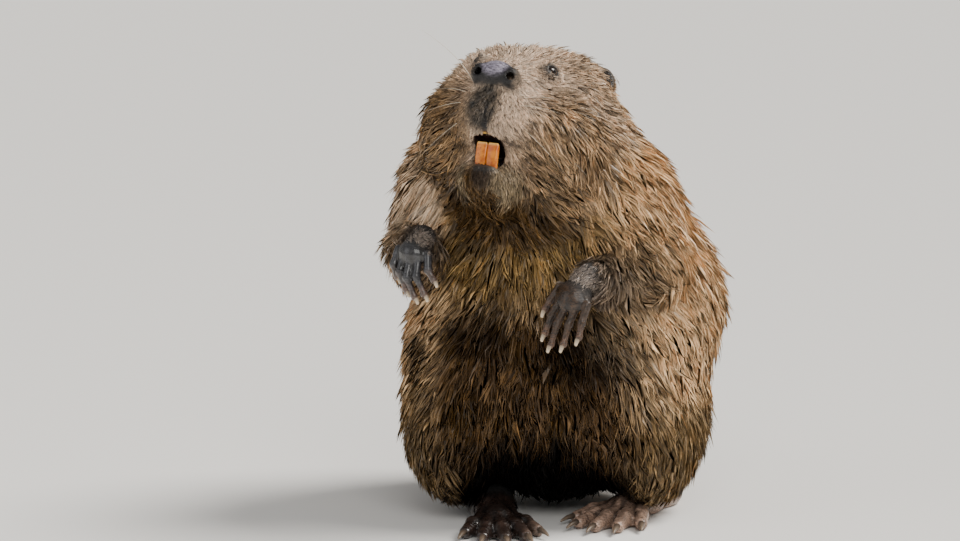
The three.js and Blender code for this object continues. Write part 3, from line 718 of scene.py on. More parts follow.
def furrow(p, forms):
    """1 where a point is as near to one finger as to the next, 0 on a finger's back."""
    near_two = np.sort(np.stack([form(p) for form in forms]), axis=0)[:2]
    return (1 - ramp(near_two[1] - near_two[0], 1.0, 4.5)) * (1 - ramp(near_two[0], 3.0, 9.0))


def tint(colour, share, other):
    return colour + (other - colour) * share[..., None]


FLANK, SHOULDER, CHEST = rgb(255, 214, 164), rgb(238, 196, 146), rgb(112, 86, 42)
BELLY, GOLDEN_GLOW, PAINTED_SHADE, BACK = rgb(70, 49, 24), rgb(66, 46, 16), rgb(6, 4, 3), rgb(176, 144, 106)
HAUNCH, SHADY_CHEEK = rgb(112, 90, 58), rgb(110, 84, 54)
DARK_ARM, CROWN, CHEEK = rgb(72, 56, 42), rgb(206, 182, 160), rgb(146, 118, 88)
LIP, THROAT, CHIN = rgb(40, 41, 41), rgb(72, 51, 22), rgb(142, 128, 104)
NOSE_SHEEN, NOSE_DARK = rgb(126, 120, 134), rgb(17, 14, 15)
HAND_SKIN, WET_HAND, TAIL_SKIN = rgb(58, 41, 27), rgb(46, 46, 50), rgb(66, 60, 56)
LIT_FOOT_SKIN, DARK_FOOT, FINGER_END = rgb(150, 124, 108), rgb(46, 34, 29), rgb(112, 84, 68)
EAR_RIM, EAR_HOLLOW = rgb(92, 76, 62), rgb(30, 24, 20)
MOUTH_SKIN, LID_SKIN = rgb(34, 16, 12), rgb(18, 13, 11)
CREASE_SHADE, LOWER_LIP = rgb(30, 24, 22), rgb(50, 40, 32)
SHOULDER_HIGHLIGHT, WRIST = rgb(226, 206, 184), rgb(122, 114, 110)


# Patches of the coat: an ellipsoid's centre and radii, how strong, and the colour. The body's patches
# are painted shade by the right leg and under both forepaws, and a painted highlight on the right
# shoulder.
BODY_PATCHES = (
    ([-61, -62, 30], [40, 34, 44], 0.95, PAINTED_SHADE),
    ([-60, -150, 215], [46, 60, 40], 0.75, PAINTED_SHADE),
    ([52, -120, 196], [52, 60, 34], 0.7, PAINTED_SHADE),
    ([-128, -60, 330], [34, 70, 52], 0.6, SHOULDER_HIGHLIGHT),
)
HEAD_PATCHES = (
    ([62, 74, -48], [56, 62, 58], 1.0, CHEEK),
    ([-62, 70, -46], [52, 60, 62], 1.0, SHADY_CHEEK),
    ([52, 100, 40], [30, 44, 30], 0.7, CHEEK),
)
MOUTH_PATCHES = (
    ([25, 34, -94], [12, 26, 18], 0.75, CHIN),
    ([-17, 34, -96], [10, 26, 16], 0.6, CHIN),
    # The lower lip's own dark skin, with painted shade under the lower teeth.
    ([9, 18, -99], [10, 17, 10], 0.95, LOWER_LIP),
)


def patched(colour, p, patches):
    for centre, radii, share, own in patches:
        colour = tint(colour, near(p, centre, radii) * share, own)
    return colour


def body_colour(p, on_arm):
    t = turned(p, -twist_at(p[..., 2]))
    x, y, z = np.moveaxis(p, -1, 0)
    ahead = ramp(-t[..., 1], 10, 80)
    colour = tint(FLANK, ramp(t[..., 1], 0, 90), BACK)
    colour = tint(colour, ramp(-z, -190, -110), HAUNCH)
    colour = tint(colour, ramp(z, 230, 330), SHOULDER)
    colour = tint(colour, ahead * ramp(z, 190, 260) * near(t, [4, -90, 280], [80, 90, 100]), CHEST)
    # The lower front is dark brown, its own wet fur with painted shade added; golden patches on its
    # right side are a painted glow of light through the fur.
    low = ahead * ramp(-z, -272, -218)
    colour = tint(colour, low * near(t, [0, -90, 136], [104, 120, 136]), BELLY)
    gold_glow = ramp(waves(p, 55, 3), 0.0, 0.7) * low
    colour = tint(colour, gold_glow * near(t, [-40, -100, 160], [110, 110, 100]), GOLDEN_GLOW)
    # Painted shade: near black in an arch between the legs where the belly curves under, over its dark
    # fur, and darker towards the floor all round.
    ragged = z + 14 * waves(p * np.array([1.0, 1.0, 0.35]), 26, 8)
    arch = near(np.stack([x, y, ragged], axis=-1), [0, -120, 44], [92, 180, 62], 0.26)
    colour = tint(colour, arch, PAINTED_SHADE)
    colour = tint(colour, (1 - ramp(ragged, 6, 40)) * 0.3, PAINTED_SHADE)
    colour = patched(colour, p, BODY_PATCHES)
    colour = tint(colour, dark_forearm(p) * (0.85 + 0.15 * on_arm), DARK_ARM)
    # Grey on the wrists: short pale fur, with a painted sheen on it.
    wrist = most(past_elbow(p, side, 0.6, 1.0) for side in SIDES)
    return tint(colour, on_arm * wrist, WRIST)


def head_colour(q):
    colour = patched(CROWN, q, HEAD_PATCHES)
    colour = tint(colour, ramp(q[..., 1], 84, 150) * 0.8, BACK)
    colour = tint(colour, ramp(-q[..., 2], 62, 100), THROAT)
    colour = tint(colour, near(q, [-27, 24, -50], [15, 26, 36]) * 0.8, SHADY_CHEEK)
    # The upper lip's grey: its own wet skin, darkened further by painted shade on the front of the
    # muzzle.
    mottled = 0.92 + 0.08 * waves(q, 9, 31)
    colour = tint(colour, near(q, [-4, 6, -32], [16, 22, 27]) * mottled, LIP)
    # Painted shade in the crease at the mouth's corner.
    crease = limb([17, 18, -60], [36, 34, -61], 1.5, 0.8)(q)
    colour = tint(colour, (1 - ramp(crease, 0.0, 3.5)) * 0.85, CREASE_SHADE)
    return patched(colour, q, MOUTH_PATCHES)


def coat_colour(p, q, on_head, on_arm):
    """The colour that the coat's tips have at points of the surface."""
    colour = tint(body_colour(p, on_arm), on_head, head_colour(q))
    return colour * (1 + 0.16 * waves(p, 34, 5) + 0.12 * waves(p, 90, 6))[..., None]


def bare_parts(p, q):
    """How far each vertex is from each bare form, in millimetres."""
    return {
        "nose": nose_pad(q),
        "mouth": MOUTH(q),
        "ear": least(ear[0](q) for ear in ears.values()),
        "hand": least(paw[0](p) for paw in paws.values()),
        "foot": least(foot[0](p) for foot in feet.values()),
        "tail": tail(p),
        "eye": least(np.linalg.norm(q - eye[0], axis=-1) for eye in eyes.values()) - EYE_RADIUS,
    }


def past_wrist(p, side):
    """0 near the wrist, 1 near the knuckles and beyond, where a forepaw is bare."""
    wrist, knuckles = ARMS[side]["wrist"], twist_point(HAND[side]["knuckles"])
    palm = knuckles - wrist
    close = np.linalg.norm(p - knuckles, axis=-1) < 70
    return ramp((p - wrist) @ palm / (palm @ palm), 0.2, 0.8) * close


def past_ankle(p, side):
    """0 over the heel and on the ankle, 1 from the middle of the sole, where a hind foot is bare."""
    angle = -SIDES[side] * math.radians(FEET[side]["heading"])
    q = turned(p - np.array([*FEET[side]["heel"], 0.0]), -angle)
    close = (np.abs(q[..., 0]) < 80) & (q[..., 2] < 60)
    high = ramp(q[..., 2], 20, 30) * (1 - ramp(-q[..., 1], 50, 66))
    return np.maximum(ramp(-q[..., 1], 22, 48) * (1 - high), ramp(-q[..., 2], -12, -5)) * close


def bareness(p, q, far, hollow):
    """How bare the skin of each bare part is at each vertex, 0 to 1."""
    here = {key: 1.0 - ramp(value, 0.3, 2.5) for key, value in far.items()}
    here["nose"] *= (1.0 - ramp(np.abs(q[:, 0] + 1), 19, 26)) * (1.0 - ramp(q[:, 1], 8, 15))
    here["eye"] = 1.0 - ramp(far["eye"], 0.8, 3.0)
    here["hand"] *= most(past_wrist(p, side) for side in SIDES)
    here["foot"] *= most(past_ankle(p, side) for side in SIDES)
    here["mouth"] = 1.0 - ramp(far["mouth"], 0.2, 1.5)
    here["ear"] *= 1.0 - ramp(hollow, 1.0, 4.0)
    split = limb([0, -4, -12], [0, 8, -40], 0.9, 1.3)(q), limb([0, 5, -40], [1, 10, -60], 1.3, 4.5)(q)
    here["lips"] = 1.0 - ramp(np.minimum(*split), 0.3, 1.6)
    return here


def hand_colour(p):
    colour = tint(WET_HAND, ramp(p[:, 0], -60, 0), HAND_SKIN)
    ends = np.array([start for _, claws, _ in paws.values() for start, _ in claws])
    to_claw = np.linalg.norm(p[:, None] - ends, axis=-1).min(axis=1)
    colour = tint(colour, 0.55 * (1 - ramp(to_claw, 4, 16)), FINGER_END)
    # Painted shade between the fingers.
    for _, _, fingers in paws.values():
        colour = tint(colour, 0.85 * furrow(p, fingers), CREASE_SHADE * 0.5)
    return colour


def foot_colour(p):
    # The left foot's skin is lightened as a lit copy; the right foot's dark skin is partly wet and
    # partly painted shade.
    colour = tint(DARK_FOOT, ramp(p[:, 0], -10, 20), LIT_FOOT_SKIN)
    # Painted shade over the ankles, under the haunches.
    colour = tint(colour, ramp(p[:, 2], 18, 40), PAINTED_SHADE * 1.5)
    # Painted shade between the toes.
    for _, _, toes in feet.values():
        colour = tint(colour, 0.8 * furrow(p, toes), CREASE_SHADE * 0.6)
    return colour


def describe(p):
    """What the coat and the markings, painted shade and highlights among them, are at each vertex of
    the skin.
    """
    q = in_head(p)
    _, depth, on_head, on_arm = coat_and_skin(p, q)
    far = bare_parts(p, q)
    hollow = least(ear[2](q) for ear in ears.values())
    here = bareness(p, q, far, hollow)
    # A painted sheen on the nose pad's top; the rest of the pad is its dark skin, darkened further
    # with painted shade on its underside.
    nose_sheen = near(q, [-1, 2, 5], [13, 13, 10], 0.3)
    bare = {
        # Painted shade in the split of the lips.
        "lips": CREASE_SHADE,
        "nose": tint(NOSE_DARK, nose_sheen, NOSE_SHEEN),
        # Painted shade in the ear's hollow.
        "ear": tint(EAR_RIM, 1 - ramp(hollow, 0.5, 2.5), EAR_HOLLOW),
        "hand": hand_colour(p),
        "foot": foot_colour(p),
        "tail": TAIL_SKIN,
        "eye": LID_SKIN,
        "mouth": MOUTH_SKIN,
    }
    coat = coat_colour(p, q, on_head, on_arm)
    skin = coat * (0.16 + 0.22 * ramp(-depth, -5.0, -1.5))[:, None]
    for key, own in bare.items():
        skin = tint(skin, here[key], own)
    wet = 0.1 + np.maximum(here["hand"], here["foot"]) * (0.25 + 0.5 * ramp(-p[:, 0], 0, 60))
    return {
        "p": p, "q": q, "depth": depth, "on_head": on_head, "on_arm": on_arm, "far": far,
        "coat": coat, "skin": skin, "naked": most(here.values()), "wet": wet,
    }


# ---- The coat ----

def columns(*parts):
    return np.stack(np.broadcast_arrays(*parts), axis=1)


def head_flow(q):
    cheek = ramp(-q[:, 2], -6, 34)
    wide = np.clip(q[:, 0] / 38, -1, 1)
    chin = ramp(-q[:, 2], 74, 98) * ramp(-q[:, 1], -80, -40)
    sideways = wide * (0.35 + 0.45 * cheek) * (1 - 0.6 * chin)
    ways = columns(sideways, 0.85 - 0.45 * cheek, -0.1 - 0.62 * cheek - 0.3 * chin)
    lips = near(q, [0, 12, -36], [30, 26, 34])[:, None]
    return unit(ways * (1 - lips) + lips * columns(wide, 0.15, -0.8)) @ HEAD.T


def flow(v, normals):
    """The lie of the coat: unit vectors along the skin."""
    p, on_head = v["p"], v["on_head"][:, None]
    t = turned(p, -twist_at(p[:, 2]))
    fan = 0.75 * ramp(p[:, 2], 120, 300) + 0.25
    ways = columns(np.clip(t[:, 0] / 120, -1, 1) * fan, 0.12, -1.0)
    thighs = [near(p, centre, [60, 90, 60]) for centre in ([97, -60, 60], [-90, -80, 60])]
    ways[:, 1] -= 0.5 * thighs[0] + 0.5 * thighs[1]
    ways = turned(ways, twist_at(p[:, 2]))
    ways = ways + (head_flow(v["q"]) * 1.6 - ways) * on_head
    for side in SIDES:
        shoulder, elbow, wrist = (ARMS[side][key] for key in ("shoulder", "elbow", "wrist"))
        on_upper = ramp(-upper_arms[side](p), -16.0, 0.0) * 0.3
        on_lower = ramp(-forearms[side](p), -22.0, 0.0) * past_elbow(p, side)
        for way, share in ((elbow - shoulder, on_upper), (wrist - elbow, on_lower)):
            ways = ways + (unit(way) * 1.2 - ways) * share[:, None] * (1 - on_head)
    rump = (ramp(p[:, 1], 60, 150) * ramp(-p[:, 2], -150, -60))[:, None]
    ways = ways + (np.array([0, 1.0, -0.45]) - ways) * rump
    ways += 0.16 * np.stack([waves(p, 60, 11 + k) for k in range(3)], axis=1)
    return unit(ways - normals * (ways * normals).sum(-1, keepdims=True))


def coat_length(v):
    """The length of the coat's locks at each vertex, in millimetres."""
    p, q, far = v["p"], v["q"], v["far"]
    sideways, behind, up = q.T
    body = 33.0 - 11.0 * ramp(-p[:, 2], -90, -20)
    head = 5.0 + 6.0 * ramp(behind, 10, 46) + 7.0 * ramp(behind, 50, 110)
    head += 11.0 * ramp(np.abs(sideways), 24, 50) * ramp(-up, -6, 34) + 8.0 * ramp(-up, 76, 100)
    length = body + (head - body) * v["on_head"]
    length = length + (12.0 - length) * v["on_arm"]
    short = np.maximum(1 - ramp(far["eye"], 2, 14), 1 - ramp(far["ear"], 0, 5))
    length = length * (1 - 0.62 * short)
    foot = (1 - ramp(far["foot"], 0, 8)) * ramp(-p[:, 2], -34, -20)
    length = length + (5.0 - length) * foot
    for part, shortest, reach in (("hand", 4.5, 6), ("nose", 2.6, 5)):
        length = length + (shortest - length) * (1 - ramp(far[part], 0, reach))
    chin = near(q, [14, 34, -94], [26, 30, 16], 0.4)
    return length + (6.5 - length) * chin


DENSITY = 0.43  # locks of the body for each square millimetre
SHARES = np.array([0.0, 0.32, 0.68, 1.0])  # of a lock's length, where its corners are
WIDTHS = np.array([0.75, 1.0, 0.62])
GATHER = np.array([0.0, 0.16, 0.52, 0.86])  # how far the corners are drawn to the clump's leader
SWAY = np.array([0.0, 1.0, -0.4, 1.6])
LOCK_FACES = np.array([[0, 1, 3], [0, 3, 2], [2, 3, 5], [2, 5, 4], [4, 5, 6]])
# Tones along a lock's corners, and how much painted highlight each corner takes.
LOCK_TONES, LOCK_HIGHLIGHTS = [0.2, 0.2, 0.75, 0.75, 1.2, 1.2, 1.6], [0, 0, 0.03, 0.03, 0.08, 0.08, 0.22]
WISP_FACES = np.array([[0, 2, 3], [0, 3, 1]])
WISP_TONES, WISP_HIGHLIGHTS = [0.6, 1.3, 1.3, 1.8], [0, 0.12, 0.12, 0.28]
WISP_SHARE = 0.3  # of the locks, that have one
# The colour of the painted highlights at the hairs' tips, and a cap on brightness.
TIP_HIGHLIGHT, BRIGHTEST = rgb(214, 184, 142), 0.9
LEAST_HEIGHT = 0.5  # of a hair's corner over the floor
RNG = np.random.default_rng(41)


def sow(v, verts, quads, normals, length):
    """Roots on the skin: their place and what the skin says there."""
    corners = verts[quads]
    diagonals = corners[:, 2] - corners[:, 0], corners[:, 3] - corners[:, 1]
    area = np.linalg.norm(np.cross(*diagonals), axis=-1) / 2
    at = length[quads].mean(axis=1)
    # Short hair is set closer than long hair.
    per_mm2 = DENSITY * np.clip((26.0 / at) ** 1.15, 0.8, 5.5)
    free = (v["naked"][quads].mean(axis=1) < 0.35) & (corners[:, :, 2].mean(axis=1) > 3.0)
    expected = area * per_mm2 * free
    count = np.floor(expected + RNG.random(len(expected))).astype(int)
    quad = np.repeat(np.arange(len(quads)), count)
    a, b = RNG.random((2, len(quad), 1))
    share = [(1 - a) * (1 - b), a * (1 - b), a * b, (1 - a) * b]
    look = lambda values: sum(w * values[quads[quad, k]] for k, w in enumerate(share))
    column = lambda values: look(values[:, None])[:, 0]
    return {
        "root": look(verts), "normal": unit(look(normals)), "way": unit(look(v["way"])),
        "colour": look(v["coat"]), "length": column(length), "depth": column(v["depth"]),
        "on_head": column(v["on_head"]), "on_arm": column(v["on_arm"]), "density": per_mm2[quad],
    }


def clumps_of(r):
    """The locks that lead a clump, and each lock's clump: the nearest leader's number."""
    spacing = 1.5 + 0.155 * r["length"]
    leader = np.flatnonzero(RNG.random(len(r["root"])) < 1.0 / (r["density"] * spacing**2))
    tree = kdtree.KDTree(len(leader))
    for i, at in enumerate(r["root"][leader]):
        tree.insert(at, i)
    tree.balance()
    return leader, np.array([tree.find(at)[1] for at in r["root"]])


def grow_coat(r):
    """The middle line of each lock, its width and the brightness of its clump."""
    n = len(r["root"])
    leader, clump = clumps_of(r)
    by_clump = lambda low, high: RNG.uniform(low, high, len(leader))[clump]
    turn = RNG.normal(0, 0.2, len(leader)) + 0.25 * waves(r["root"][leader], 45, 21)
    turn = turn[clump] + RNG.normal(0, 0.08, n)
    across = np.cross(r["normal"], r["way"])
    way = r["way"] * np.cos(turn)[:, None] + across * np.sin(turn)[:, None]
    length = r["length"] * by_clump(0.8, 1.25) * RNG.uniform(0.75, 1.1, n)
    stray = RNG.random(n) < 0.1
    length[stray] *= 1.2
    tip = r["root"] + way * length[:, None]
    rise = np.clip(r["depth"] * by_clump(0.75, 1.1), 0.8, 0.55 * length)
    rise *= np.where(stray, 1.5 + 1.2 * r["on_head"], 1.0)
    stands = RNG.random(len(leader)) < 0.2
    standing = np.where(stands, RNG.uniform(0.1, 0.5, len(leader)), 0.0)[clump]
    rise *= 1.0 + standing * ramp(r["root"][:, 2], 150, 290)
    # The tip keeps its height over the skin where the body curves away below it.
    over = coat_and_skin(tip, in_head(tip))
    drop = np.clip(over[0] + over[1] - rise, -0.5 * length, 0.5 * length)
    tip = tip - r["normal"] * drop[:, None]
    straight = tip - r["root"]
    path = r["root"][:, None] + straight[:, None] * SHARES[None, :, None]
    bulge = 0.1 * length[:, None] * np.sin(math.pi * SHARES)
    path = path + r["normal"][:, None] * bulge[..., None]
    path[:, 0] -= r["normal"] * 0.8
    leaders = path[leader][clump]
    gather = np.where(stray, 0.25, RNG.uniform(0.6, 1.0, n)) * (0.5 + 0.5 * ramp(length, 7, 20))
    path = path + (leaders - path) * (GATHER[None, :, None] * gather[:, None, None])
    sway = RNG.normal(0, 0.03, (n, 1)) * length[:, None] * SWAY
    path = path + across[:, None] * sway[..., None]
    path[..., 2] = np.maximum(path[..., 2], 0.8)
    width = (0.3 + 0.029 * length) * RNG.uniform(0.7, 1.35, n)
    uneven = (0.28 + 0.2 * r["on_head"]) * RNG.normal(0, 1.0, len(leader))[clump]
    calm = 0.5 + 0.5 * ramp(length, 6, 18)
    bright = np.minimum(np.exp((uneven + RNG.normal(0, 0.34, n)) * calm), 2.2)
    return path, width, bright


def toned(r, bright, tones, highlights):
    """Colours of the corners of each lock: dark at the root, with painted highlights near the tip
    where it is light.
    """
    light = ramp(r["colour"].mean(axis=1), 0.01, 0.12)
    highlighted = np.array(highlights)[None, :, None] * light[:, None, None]
    colour = r["colour"][:, None] * np.array(tones)[None, :, None]
    colour = colour * (1 - highlighted) + highlighted * TIP_HIGHLIGHT
    colour = colour * bright[:, None, None]
    return colour * np.minimum(1, BRIGHTEST / colour.max(axis=2, keepdims=True))


def wisp_mesh(path, r, bright):
    """Corners and colours of single hairs that lie over the locks and run on past their tips."""
    n = len(path)
    middle = path[:, 2] + r["normal"] * (0.015 * r["length"])[:, None]
    tip = path[:, 3] + (path[:, 3] - path[:, 2]) * RNG.uniform(0.0, 0.55, (n, 1))
    tip = tip + r["normal"] * (r["length"] * RNG.uniform(0.0, 0.1, n))[:, None]
    side = unit(np.cross(r["normal"], tip - path[:, 1])) * RNG.uniform(0.14, 0.26, (n, 1))
    verts = np.stack([path[:, 1], middle - side, middle + side, tip], axis=1)
    verts[..., 2] = np.maximum(verts[..., 2], LEAST_HEIGHT)
    return verts, toned(r, bright * RNG.uniform(0.6, 1.7, n), WISP_TONES, WISP_HIGHLIGHTS)


def lock_mesh(path, width, r, bright):
    """Corners and colours of the locks: each is a blade that tapers to a point."""
    n = len(path)
    lie = unit(path[:, 3] - path[:, 0])
    roll = RNG.normal(0, 0.55, n)[:, None]
    across = unit(np.cross(r["normal"], lie))
    side = across * np.cos(roll) + unit(np.cross(lie, across)) * np.sin(roll)
    half = side[:, None] * (width[:, None] * WIDTHS / 2)[..., None]
    verts = np.empty((n, 7, 3))
    verts[:, 0:6:2], verts[:, 1:6:2], verts[:, 6] = path[:, :3] - half, path[:, :3] + half, path[:, 3]
    verts[..., 2] = np.maximum(verts[..., 2], LEAST_HEIGHT)
    return verts, toned(r, bright, LOCK_TONES, LOCK_HIGHLIGHTS)


def unwrap(points, normals):
    """Six charts of the skin's shape, one for each way it faces, side by side in the unit square."""
    facing = np.abs(normals).argmax(axis=1)
    chart = facing * 2 + (normals[np.arange(len(points)), facing] > 0)
    uv = np.empty((len(points), 2))
    for k in range(6):
        own = chart == k
        if not own.any():
            continue
        flat = np.delete(points[own], k // 2, axis=1)
        low, size = flat.min(axis=0), np.maximum(np.ptp(flat, axis=0), 1.0)
        cell = np.array([k % 3, k // 3])
        uv[own] = (cell + 0.02 + 0.96 * (flat - low) / size) / np.array([3, 2])
    return uv


PATCH = 0.003  # one lock's share of the unit square
LOCK_ACROSS = [-0.4, 0.4, -0.5, 0.5, -0.3, 0.3, 0.0]
LOCK_PATCH = np.stack([LOCK_ACROSS, np.repeat(SHARES, 2)[:7] - 0.5], axis=1) * PATCH
WISP_PATCH = np.array([[0.0, -0.5], [-0.5, 0.0], [0.5, 0.0], [0.0, 0.5]]) * PATCH
MOST_TRIANGLES = 190000  # in one piece


def pieces_of(points, chosen, limit):
    """The chosen locks in groups of no more than limit, each split across its longest way."""
    if len(chosen) <= limit:
        return [chosen]
    axis = np.ptp(points[chosen], axis=0).argmax()
    order = chosen[np.argsort(points[chosen, axis], kind="stable")]
    return [g for half in np.array_split(order, 2) for g in pieces_of(points, half, limit)]


def add_coat(name, material, r, chosen, corners, colours, pattern, patch):
    """Pieces of the coat from the chosen locks, whose corners follow one pattern of triangles."""
    sides = corners.shape[1]
    for i, own in enumerate(pieces_of(r["root"], chosen, MOST_TRIANGLES // len(pattern))):
        faces = (pattern[None] + sides * np.arange(len(own))[:, None, None]).reshape(-1, 3)
        piece = new_mesh(f"{name}_{i + 1}", corners[own].reshape(-1, 3), faces)
        paint(piece, "shade", colours[own].reshape(-1, 3))
        uv = (unwrap(r["root"][own], r["normal"][own])[:, None] + patch).reshape(-1, 2)
        layer = piece.data.uv_layers.new(name="OFBake")
        layer.data.foreach_set("uv", uv[faces.ravel()].astype(np.float32).ravel())
        piece.data.materials.append(material)


def coat_material():
    nodes = Nodes("coat")
    colour = nodes.attribute("shade")
    patches = nodes.varied(60.0, 0.86, 1.14)
    strands = nodes.varied(900.0, 0.8, 1.2, 1.0, (1, 1, 0.2))
    colour = nodes.scaled(colour, nodes.math("MULTIPLY", patches, strands))
    rough = nodes.spread(nodes.noise(140.0), 0.35, 0.65, 0.28, 0.5)
    material = nodes.finish(colour, rough)
    light = nodes.add("RGBToBW", "Val", {"Color": nodes.attribute("shade")})
    gloss = nodes.spread(light, 0.0, 0.07, 0.06, 0.4)
    nodes.join(gloss, nodes.shader.inputs["Specular IOR Level"])
    return material


def make_coat(v, verts, quads, normals):
    length = coat_length(v)
    v["way"] = flow(v, normals)
    r = sow(v, verts, quads, normals, length)
    path, width, bright = grow_coat(r)
    locks = lock_mesh(path, width, r, bright)
    wisps = wisp_mesh(path, r, bright)
    with_wisp = RNG.random(len(path)) < WISP_SHARE
    head, arms = r["on_head"] > 0.5, r["on_arm"] > 0.5
    front = (r["root"][:, 1] < -20) & ~head & ~arms
    groups = {"head": head, "arms": arms & ~head, "front": front, "back": ~(head | arms | front)}
    material = coat_material()
    for name, mask in groups.items():
        add_coat("coat_" + name, material, r, np.flatnonzero(mask), *locks, LOCK_FACES, LOCK_PATCH)
        chosen = np.flatnonzero(mask & with_wisp)
        add_coat("wisps_" + name, material, r, chosen, *wisps, WISP_FACES, WISP_PATCH)


def skin_material():
    nodes = Nodes("skin")
    naked = nodes.attribute("naked", "Fac")
    wrinkles = nodes.noise(210.0, 4.0, (1, 3.2, 3.2))
    pebbles = nodes.spread(nodes.cells(520.0), 0.0, 0.7)
    # Painted shade in the wrinkles' furrows and painted light on their ridges.
    wrinkle_shading = nodes.spread(wrinkles, 0.4, 0.56, 0.45, 1.25)
    mottle = nodes.varied(90.0, 0.6, 1.4, 4.0)
    grain = nodes.spread(pebbles, 0.0, 1.0, 0.75, 1.15)
    shade = nodes.math("MULTIPLY", nodes.math("MULTIPLY", wrinkle_shading, mottle), grain)
    colour = nodes.scaled(nodes.attribute("shade"), shade)
    pebbled, wrinkled = nodes.math("MULTIPLY", pebbles, 0.35), nodes.math("MULTIPLY", wrinkles, 1.6)
    nodes.bump(nodes.math("ADD", pebbled, wrinkled), 0.0009, 0.8)
    rough = nodes.math("SUBTRACT", 0.72, nodes.math("MULTIPLY", naked, 0.42))
    rough = nodes.math("ADD", rough, nodes.varied(120.0, -0.1, 0.12))
    material = nodes.finish(colour, rough, 0.4, Coat_Roughness=0.12)
    nodes.join(nodes.attribute("wet", "Fac"), nodes.shader.inputs["Coat Weight"])
    return material


# ---- Eyes, teeth, claws, whiskers and the tail's scales ----

def loft(rings):
    """Triangles of a form through rings of corners, (rings, sides, 3), with its ends closed."""
    count, sides = rings.shape[:2]
    verts = np.concatenate([rings.reshape(-1, 3), rings[:1].mean(axis=1), rings[-1:].mean(axis=1)])
    faces = []
    for i in range(count - 1):
        for k in range(sides):
            a, b = i * sides + k, i * sides + (k + 1) % sides
            faces += [(a, b, b + sides), (a, b + sides, a + sides)]
    first, last = count * sides, count * sides + 1
    for k in range(sides):
        nxt = (k + 1) % sides
        faces += [(first, nxt, k), (last, (count - 1) * sides + k, (count - 1) * sides + nxt)]
    return verts, np.array(faces)


def corner_values(values, sides, ends=(0.0, 1.0)):
    """A number for each corner of a loft, from one for each ring and one for each end's middle."""
    return np.append(np.repeat(values, sides), ends)


def joined(name, forms, values):
    """One mesh object of several lofts, with a number for each corner as the attribute along."""
    verts = np.concatenate([v for v, _ in forms])
    starts = np.cumsum([0] + [len(v) for v, _ in forms[:-1]])
    obj = new_mesh(name, verts, np.concatenate([f + a for (_, f), a in zip(forms, starts)]))
    paint(obj, "along", np.concatenate(values))
    return obj


def ring(centre, side, rise, width, height, count, power=2.0):
    """Corners of a rounded section; a power over 2 makes it squarer."""
    a = np.linspace(0, 2 * math.pi, count, endpoint=False)
    c, t = np.cos(a), np.sin(a)
    x, y = np.sign(c) * np.abs(c) ** (2 / power), np.sign(t) * np.abs(t) ** (2 / power)
    return centre + x[:, None] * side * width + y[:, None] * rise * height


EYE_RINGS, EYE_SIDES = 22, 28
PUPIL, IRIS, IRIS_RIM = (0.002, 0.002, 0.002), rgb(34, 21, 13), rgb(24, 17, 13)


def make_eye(side):
    centre, looks, turn = eyes[side]
    angles = np.linspace(0.04, math.pi - 0.04, EYE_RINGS)
    bulge = 1 + 0.06 * np.exp(-((angles / 0.5) ** 2))
    rings = []
    for a, b in zip(angles, bulge):
        reach = EYE_RADIUS * b * math.sin(a)
        middle = centre + looks * EYE_RADIUS * b * math.cos(a)
        rings.append(ring(middle, turn[:, 0], turn[:, 1], reach, reach, EYE_SIDES))
    verts, faces = loft(from_head(np.array(rings)))
    eye = new_mesh("eyeball_" + side, verts, faces[:, ::-1])
    paint(eye, "out", corner_values(angles, EYE_SIDES, [0, math.pi]))
    nodes = Nodes("eye_" + side)
    away = nodes.attribute("out", "Fac")
    iris = nodes.scaled(IRIS, nodes.varied(900.0, 0.6, 1.4, 2.0))
    colour = nodes.mixed(nodes.spread(away, 0.26, 0.3), PUPIL, iris)
    colour = nodes.mixed(nodes.spread(away, 0.55, 0.7), colour, IRIS_RIM)
    eye.data.materials.append(nodes.finish(colour, 0.12, 0.4, Coat_Weight=0.35, Coat_Roughness=0.04))
    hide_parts("eye_" + side)


TEETH = {
    "incisors_lower": {"root": [7.6, 26, -94], "edge": [7, 17.5, -67.5], "width": 23.5, "thick": 6},
    "incisors_upper": {"root": [2, 28, -35], "edge": [2, 19, -59], "width": 17, "thick": 5},
}
TOOTH_SHARES = (0, 0.15, 0.3, 0.45, 0.6, 0.75, 0.88, 0.95, 0.985, 1.0)
TOOTH_SIDES, TOOTH_SQUARE = 20, 4.5
ENAMEL, STAIN, CHIP, EDGE = rgb(222, 134, 30), rgb(182, 84, 10), rgb(150, 74, 16), rgb(236, 186, 92)


def tooth_rings(root, edge, width, thick, s):
    """Sections of the tooth on side s of the pair: bowed forward, and sharp at the edge."""
    way = unit(edge - root)
    side = np.array([1.0, 0, 0])
    front = unit(np.cross(way, side)) * (1 if np.cross(way, side)[1] < 0 else -1)
    rings = []
    for share in TOOTH_SHARES:
        sharp = share**7
        middle = root + (edge - root) * share + side * s * width / 4
        middle = middle + front * (1.3 * math.sin(share * math.pi) + 0.35 * thick * sharp)
        round_off = 1 - 0.5 * max(share - 0.93, 0) / 0.07 * 0.35
        w = (width / 4 - 0.12) * (0.94 + 0.06 * share) * round_off
        depth = thick / 2 * (1 - 0.72 * sharp)
        rings.append(ring(middle, side, front, w, depth, TOOTH_SIDES, TOOTH_SQUARE))
    return np.array(rings), np.cross(side, front) @ way > 0


